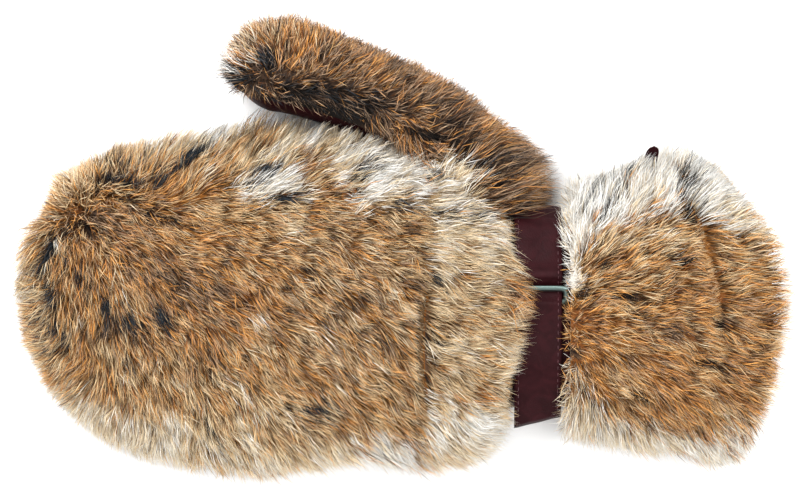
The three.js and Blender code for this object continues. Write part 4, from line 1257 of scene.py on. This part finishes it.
class MITTEN_OT_fur(Operator):
    """Grows the hair of every pelt, hair by hair"""

    bl_idname = "mitten.fur"
    bl_label = "Fur"

    def execute(self, context):
        settings = context.scene.mitten_fur
        hair = fur_material()
        edge = 0.01
        common = dict(angles=(edge, np.pi - edge), material=hair)
        on_hand = dict(
            length=settings.hand_hair / MM, combing=HAND_COMBING, outline=HAND_OUTLINE, **common
        )
        on_cuff = dict(
            length=settings.cuff_hair / MM, combing=CUFF_COMBING, outline=CUFF_OUTLINE,
            patches=CUFF_PATCHES, tone=GOLD, **common
        )
        parts = (
            ("finger_hair_tips", 11, -200, -105),
            ("finger_hair_middle", 12, -105, -50),
            ("finger_hair_back", 13, -50, 200),
        )
        made = []
        for name, seed, low, high in parts:
            piece = grow_hair(
                name, HAND, triangles=settings.finger_triangles, start=HAND.start, end=CROSS_SEAM_X,
                patches=HAND_PATCHES, tone=TAWNY, seed=seed, **on_hand,
                keep=lambda p, low=low, high=high: (p[:, 0] >= low) & (p[:, 0] < high) & off_thumb(p),
                stop=stop_at(lambda y: CROSS_SEAM_X, finger_overhang),
            )
            made.append((piece, "tawny_fur"))
        heel = grow_hair(
            "heel_hair", Form(HAND_ROWS), triangles=settings.heel_triangles, start=CROSS_SEAM_X + 0.5,
            end=HAND_END - 0.5, patches=HEEL_PATCHES, tone=SAND, seed=23, **on_hand,
            keep=off_thumb, mess=0.9, change=over_strap,
        )
        thumb = grow_hair(
            "thumb_hair", THUMB, triangles=settings.thumb_triangles, length=settings.thumb_hair / MM,
            angles=(THUMB_FUR_ANGLES[0] + 2 * edge, THUMB_FUR_ANGLES[1] - 2 * edge),
            start=THUMB.start, end=THUMB.end,
            combing=THUMB_COMBING, patches=THUMB_PATCHES, tone=0.33, seed=37, material=hair,
            outline=THUMB_OUTLINE, keep=off_hand, change=thumb_habit, wisps=2.0, mess=1.2,
        )
        cuff = grow_hair(
            "cuff_hair", CUFF, triangles=settings.cuff_triangles, start=CUFF_START + 0.3, end=BAND_SEAM_X,
            seed=41, **on_cuff,
            keep=lambda p: p[:, 0] < band_seam(p[:, 1]), change=over_wrist,
            stop=stop_at(band_seam, cuff_overhang),
        )
        band = grow_hair(
            "cuff_band_hair", CUFF, triangles=settings.band_triangles, start=BAND_SEAM_X - 33,
            end=CUFF_MOUTH_X, seed=53, **on_cuff, keep=in_band,
        )
        made += [(heel, "pale_fur"), (thumb, "brown_fur"), (cuff, "pale_fur"), (band, "tawny_fur")]
        return {"FINISHED"}


def off_thumb(points):
    """Whether roots lie outside the thumb."""
    clear = 2.5
    return ~THUMB.holds(points, clear)


def off_hand(points):
    """Whether the thumb's roots lie outside the hand and short of the wrist."""
    clear, wrist_x = 2.0, 52
    return ~HAND.holds(points, clear) & (points[:, 0] < wrist_x)


def finger_overhang(y):
    """How far the finger pelt's hair may lie over the cross seam, in millimetres."""
    return np.interp(y, (-72, -62, -22, -8), (10, 2, 2, 10))


def cuff_overhang(y):
    """How far the hair of the cuff's main pelt may lie over the band's seam, in millimetres."""
    return np.interp(y, (-60, -20), (12, 3))


def thumb_habit(rng, root, at, turn, size):
    """The thumb's brown hair curls, and grows longer towards the wrist, which it hides."""
    longer = 1.1
    curl = np.where((root[:, 0] < 8) | (root[:, 1] > 46), 0.4, 0.08)
    by_wrist = np.clip((root[:, 0] - 15) / 30, 0, 1)
    return turn + curl * rng.normal(0, 1, len(at)), size * (1 + longer * by_wrist)


def over_strap(rng, root, at, turn, size):
    """The last hairs of the hand grow longer in the middle, where they hang over the strap's edge."""
    middle_y, reach_y, longer = -22, 22, 0.5
    in_middle = np.exp(-(((root[:, 1] - middle_y) / reach_y) ** 2))
    last = np.clip((root[:, 0] - 30) / 12, 0, 1) * in_middle
    return turn, size * (1 + longer * last)


def over_wrist(rng, root, at, turn, size):
    """The first short hairs of the cuff lie every way, so that some hang over its edge."""
    towards_hand, spread, shorter = 2.7, 0.8, 0.55
    first = rng.random(len(at)) < np.interp(at - CUFF_START, (2, 8), (0.5, 0))
    turn = np.where(first, rng.normal(towards_hand, spread, len(at)), turn)
    return turn, np.where(first, shorter * size, size)


def in_band(points):
    """Whether roots lie between the cuff's cross seam and its rounded mouth."""
    row = CUFF.read(points[:, 0])
    across = np.clip((points[:, 1] - row[:, 2]) / (row[:, 3] + FUR_GAP), -1, 1)
    cosine = np.abs(across) ** (1 / ARCH_POWER)
    mouth = cuff_mouth(np.arccos(cosine * np.sign(across)))
    return (points[:, 0] > band_seam(points[:, 1])) & (points[:, 0] < mouth - 0.3)


def stop_at(seam, overhang):
    """Shortens hair that would lie far across a seam."""

    lying_share, shortest = 0.86, 0.4

    def share(root, lean, size):
        room = seam(root[:, 1]) + overhang(root[:, 1]) - root[:, 0]
        reach = np.maximum(lean[:, 0] * size * lying_share, 1e-3)
        return np.clip(room / reach, shortest, 1)

    return share


class MITTEN_OT_strap(Operator):
    """Builds the wrist strap and its stitches"""

    bl_idname = "mitten.strap"
    bl_label = "Strap"

    def execute(self, context):
        colour = context.scene.mitten_leather
        leather = leather_material(
            "burgundy_calf_strap", 0.55, tuple(colour.leather), tuple(colour.leather_worn), 0.45
        )
        edge_power, edge_fall = 10, 0.45
        bump_height, bump_length, rough_length, seed = 0.12, 9, 110, 71

        def place(flat):
            across = flat[:, 0] * STRAP_WIDTH
            share = flat[:, 1] + 0.5
            thickness = STRAP_THICKNESS * (1 - edge_fall * np.abs(2 * flat[:, 0]) ** edge_power)
            rise = (flat[:, 2] - 0.5) * thickness
            rise = rise + bump_height * waves(across, share * rough_length, bump_length, seed)
            return strap_point(share, across, rise)

        strap = finish_piece(net(20, 170), "wrist_strap_skin", leather, place)
        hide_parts("wrist_strap")
        stitches = self.stitches(colour, thread_material(tuple(colour.thread)))
        return {"FINISHED"}

    def stitches(self, colour, thread):
        """Short ovals of thread along both edges of the strap, as one mesh."""
        _, run = strap_route()
        pitch = colour.stitch_pitch / MM
        length = colour.stitch_length / MM
        radius = colour.thread_width / MM / 2
        inset, proud, first, last = 1.7, 0.05, 2, run[-1] - 1
        bm = bmesh.new()
        for side in (-1, 1):
            for start in np.arange(first, last - length, pitch):
                made = bmesh.ops.create_icosphere(bm, subdivisions=1, radius=1)["verts"]
                shape = corner_points(made)
                share = (start + length / 2 * (1 + shape[:, 1])) / run[-1]
                across = side * (STRAP_WIDTH / 2 - inset) + shape[:, 0] * radius
                rise = STRAP_THICKNESS / 2 + shape[:, 2] * radius + proud
                move_corners(made, strap_point(share, across, rise))
        return finish_piece(bm, "strap_stitches", thread)


class MITTEN_OT_ring(Operator):
    """Builds the wire ring that the strap passes through"""

    bl_idname = "mitten.ring"
    bl_label = "Ring"

    def execute(self, context):
        bm = bmesh.new()
        slimness = 10
        upright = Matrix.Rotation(np.pi / 2, 3, "X")
        bmesh.ops.create_circle(bm, cap_ends=False, segments=14, radius=1 / slimness)
        bmesh.ops.rotate(bm, verts=bm.verts, matrix=upright, cent=(0, 0, 0))
        bmesh.ops.translate(bm, verts=bm.verts, vec=(1, 0, 0))
        bmesh.ops.spin(
            bm, geom=bm.verts[:] + bm.edges[:], cent=(0, 0, 0), axis=(0, 0, 1), angle=2 * np.pi,
            steps=96, use_merge=True,
        )
        half_width = STRAP_WIDTH / 2 + RING_SIDE_PLAY + RING_WIRE_RADIUS
        half_depth = (RING_FRONT_BAR[0] - RING_BACK_BAR[0]) / 2
        centre_y = (RING_FRONT_BAR[0] + RING_BACK_BAR[0]) / 2
        centre_z = (RING_FRONT_BAR[1] + RING_BACK_BAR[1]) / 2
        tilt = (RING_FRONT_BAR[1] - RING_BACK_BAR[1]) / (2 * half_depth)

        def place(flat):
            turn = np.arctan2(flat[:, 1], flat[:, 0])
            outwards = (np.hypot(flat[:, 0], flat[:, 1]) - 1) * slimness * RING_WIRE_RADIUS
            x = signed_power(np.cos(turn), RING_CORNER_POWER) * (half_width + outwards)
            y = signed_power(np.sin(turn), RING_CORNER_POWER) * (half_depth + outwards)
            z = centre_z + flat[:, 2] * slimness * RING_WIRE_RADIUS + y * tilt
            return np.stack((STRAP_CENTRE_X + x, centre_y + y, z), -1)

        steel = steel_material(tuple(context.scene.mitten_leather.steel))
        ring = finish_piece(bm, "strap_ring_wire", steel, place)
        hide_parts("strap_ring")
        return {"FINISHED"}


class MITTEN_OT_stage(Operator):
    """Lays the pale floor and sets the lights and the camera straight above"""

    bl_idname = "mitten.stage"
    bl_label = "Stage"

    def execute(self, context):
        stage = context.scene.mitten_stage
        self.floor(context, stage)
        self.lights(context, stage)
        self.camera(context, stage)
        context.scene.view_settings.view_transform = "Standard"
        return {"FINISHED"}

    def floor(self, context, stage):
        half_size = 4
        bm = bmesh.new()
        bmesh.ops.create_grid(bm, x_segments=1, y_segments=1, size=half_size)
        mesh = bpy.data.meshes.new("paper_floor")
        bm.to_mesh(mesh)
        bm.free()
        material, shader = material_named("matte_white_paper")
        shader.inputs["Base Color"].default_value = (*stage.floor, 1)
        shader.inputs["Roughness"].default_value = 1.0
        shader.inputs["Specular IOR Level"].default_value = 0.0
        mesh.materials.append(material)
        floor = bpy.data.objects.new("paper_floor", mesh)
        context.scene.collection.objects.link(floor)

    def lights(self, context, stage):
        # Columns: name, place, size, share of the power
        lamps = (
            ("softbox_left", (-0.7, 0.9, 1.5), 1.1, 1.0),
            ("softbox_right", (0.9, -0.5, 1.6), 1.2, 0.45),
        )
        for name, place, size, share in lamps:
            lamp = bpy.data.lights.new(name, "AREA")
            lamp.size = size
            lamp.energy = stage.light * share
            holder = bpy.data.objects.new(name, lamp)
            holder.location = place
            holder.rotation_mode = "QUATERNION"
            holder.rotation_quaternion = (-Vector(place)).to_track_quat("-Z", "Y")
            context.scene.collection.objects.link(holder)
        world = bpy.data.worlds.new("studio_air")
        world.use_nodes = True
        world.node_tree.nodes["Background"].inputs["Color"].default_value = (1, 1, 1, 1)
        world.node_tree.nodes["Background"].inputs["Strength"].default_value = 1.0
        context.scene.world = world

    def camera(self, context, stage):
        camera = bpy.data.cameras.new("camera_above")
        half_height = 0.025
        camera.lens = camera.sensor_width * (stage.camera_height - half_height) / stage.view_width
        camera.clip_end = 20
        holder = bpy.data.objects.new("camera_above", camera)
        holder.location = (stage.view_x, stage.view_y, stage.camera_height)
        context.scene.collection.objects.link(holder)
        context.scene.camera = holder


OPERATORS = (
    MITTEN_OT_hides, MITTEN_OT_leather, MITTEN_OT_underfur, MITTEN_OT_fur, MITTEN_OT_strap,
    MITTEN_OT_ring, MITTEN_OT_stage,
)


class MITTEN_PT_build(Panel):
    """Lists the steps that build the mitten"""

    bl_idname = "MITTEN_PT_build"
    bl_label = "Fur mitten"
    bl_space_type = "VIEW_3D"
    bl_region_type = "UI"
    bl_category = "Mitten"

    def draw(self, context):
        for operator in OPERATORS:
            self.layout.operator(operator.bl_idname)
        for settings in (context.scene.mitten_fur, context.scene.mitten_leather, context.scene.mitten_stage):
            for name in settings.__annotations__:
                self.layout.prop(settings, name)


SETTINGS = {
    "mitten_fur": MittenFurSettings,
    "mitten_leather": MittenLeatherSettings,
    "mitten_stage": MittenStageSettings,
}
CLASSES = (*SETTINGS.values(), *OPERATORS, MITTEN_PT_build)


def register():
    for cls in CLASSES:
        bpy.utils.register_class(cls)
    for name, cls in SETTINGS.items():
        setattr(bpy.types.Scene, name, PointerProperty(type=cls))


def unregister():
    for name in SETTINGS:
        delattr(bpy.types.Scene, name)
    for cls in reversed(CLASSES):
        bpy.utils.unregister_class(cls)


def main():
    register()
    bpy.ops.mitten.hides()
    bpy.ops.mitten.leather()
    bpy.ops.mitten.underfur()
    bpy.ops.mitten.fur()
    bpy.ops.mitten.strap()
    bpy.ops.mitten.ring()
    bpy.ops.mitten.stage()


if __name__ == "__main__":
    main()
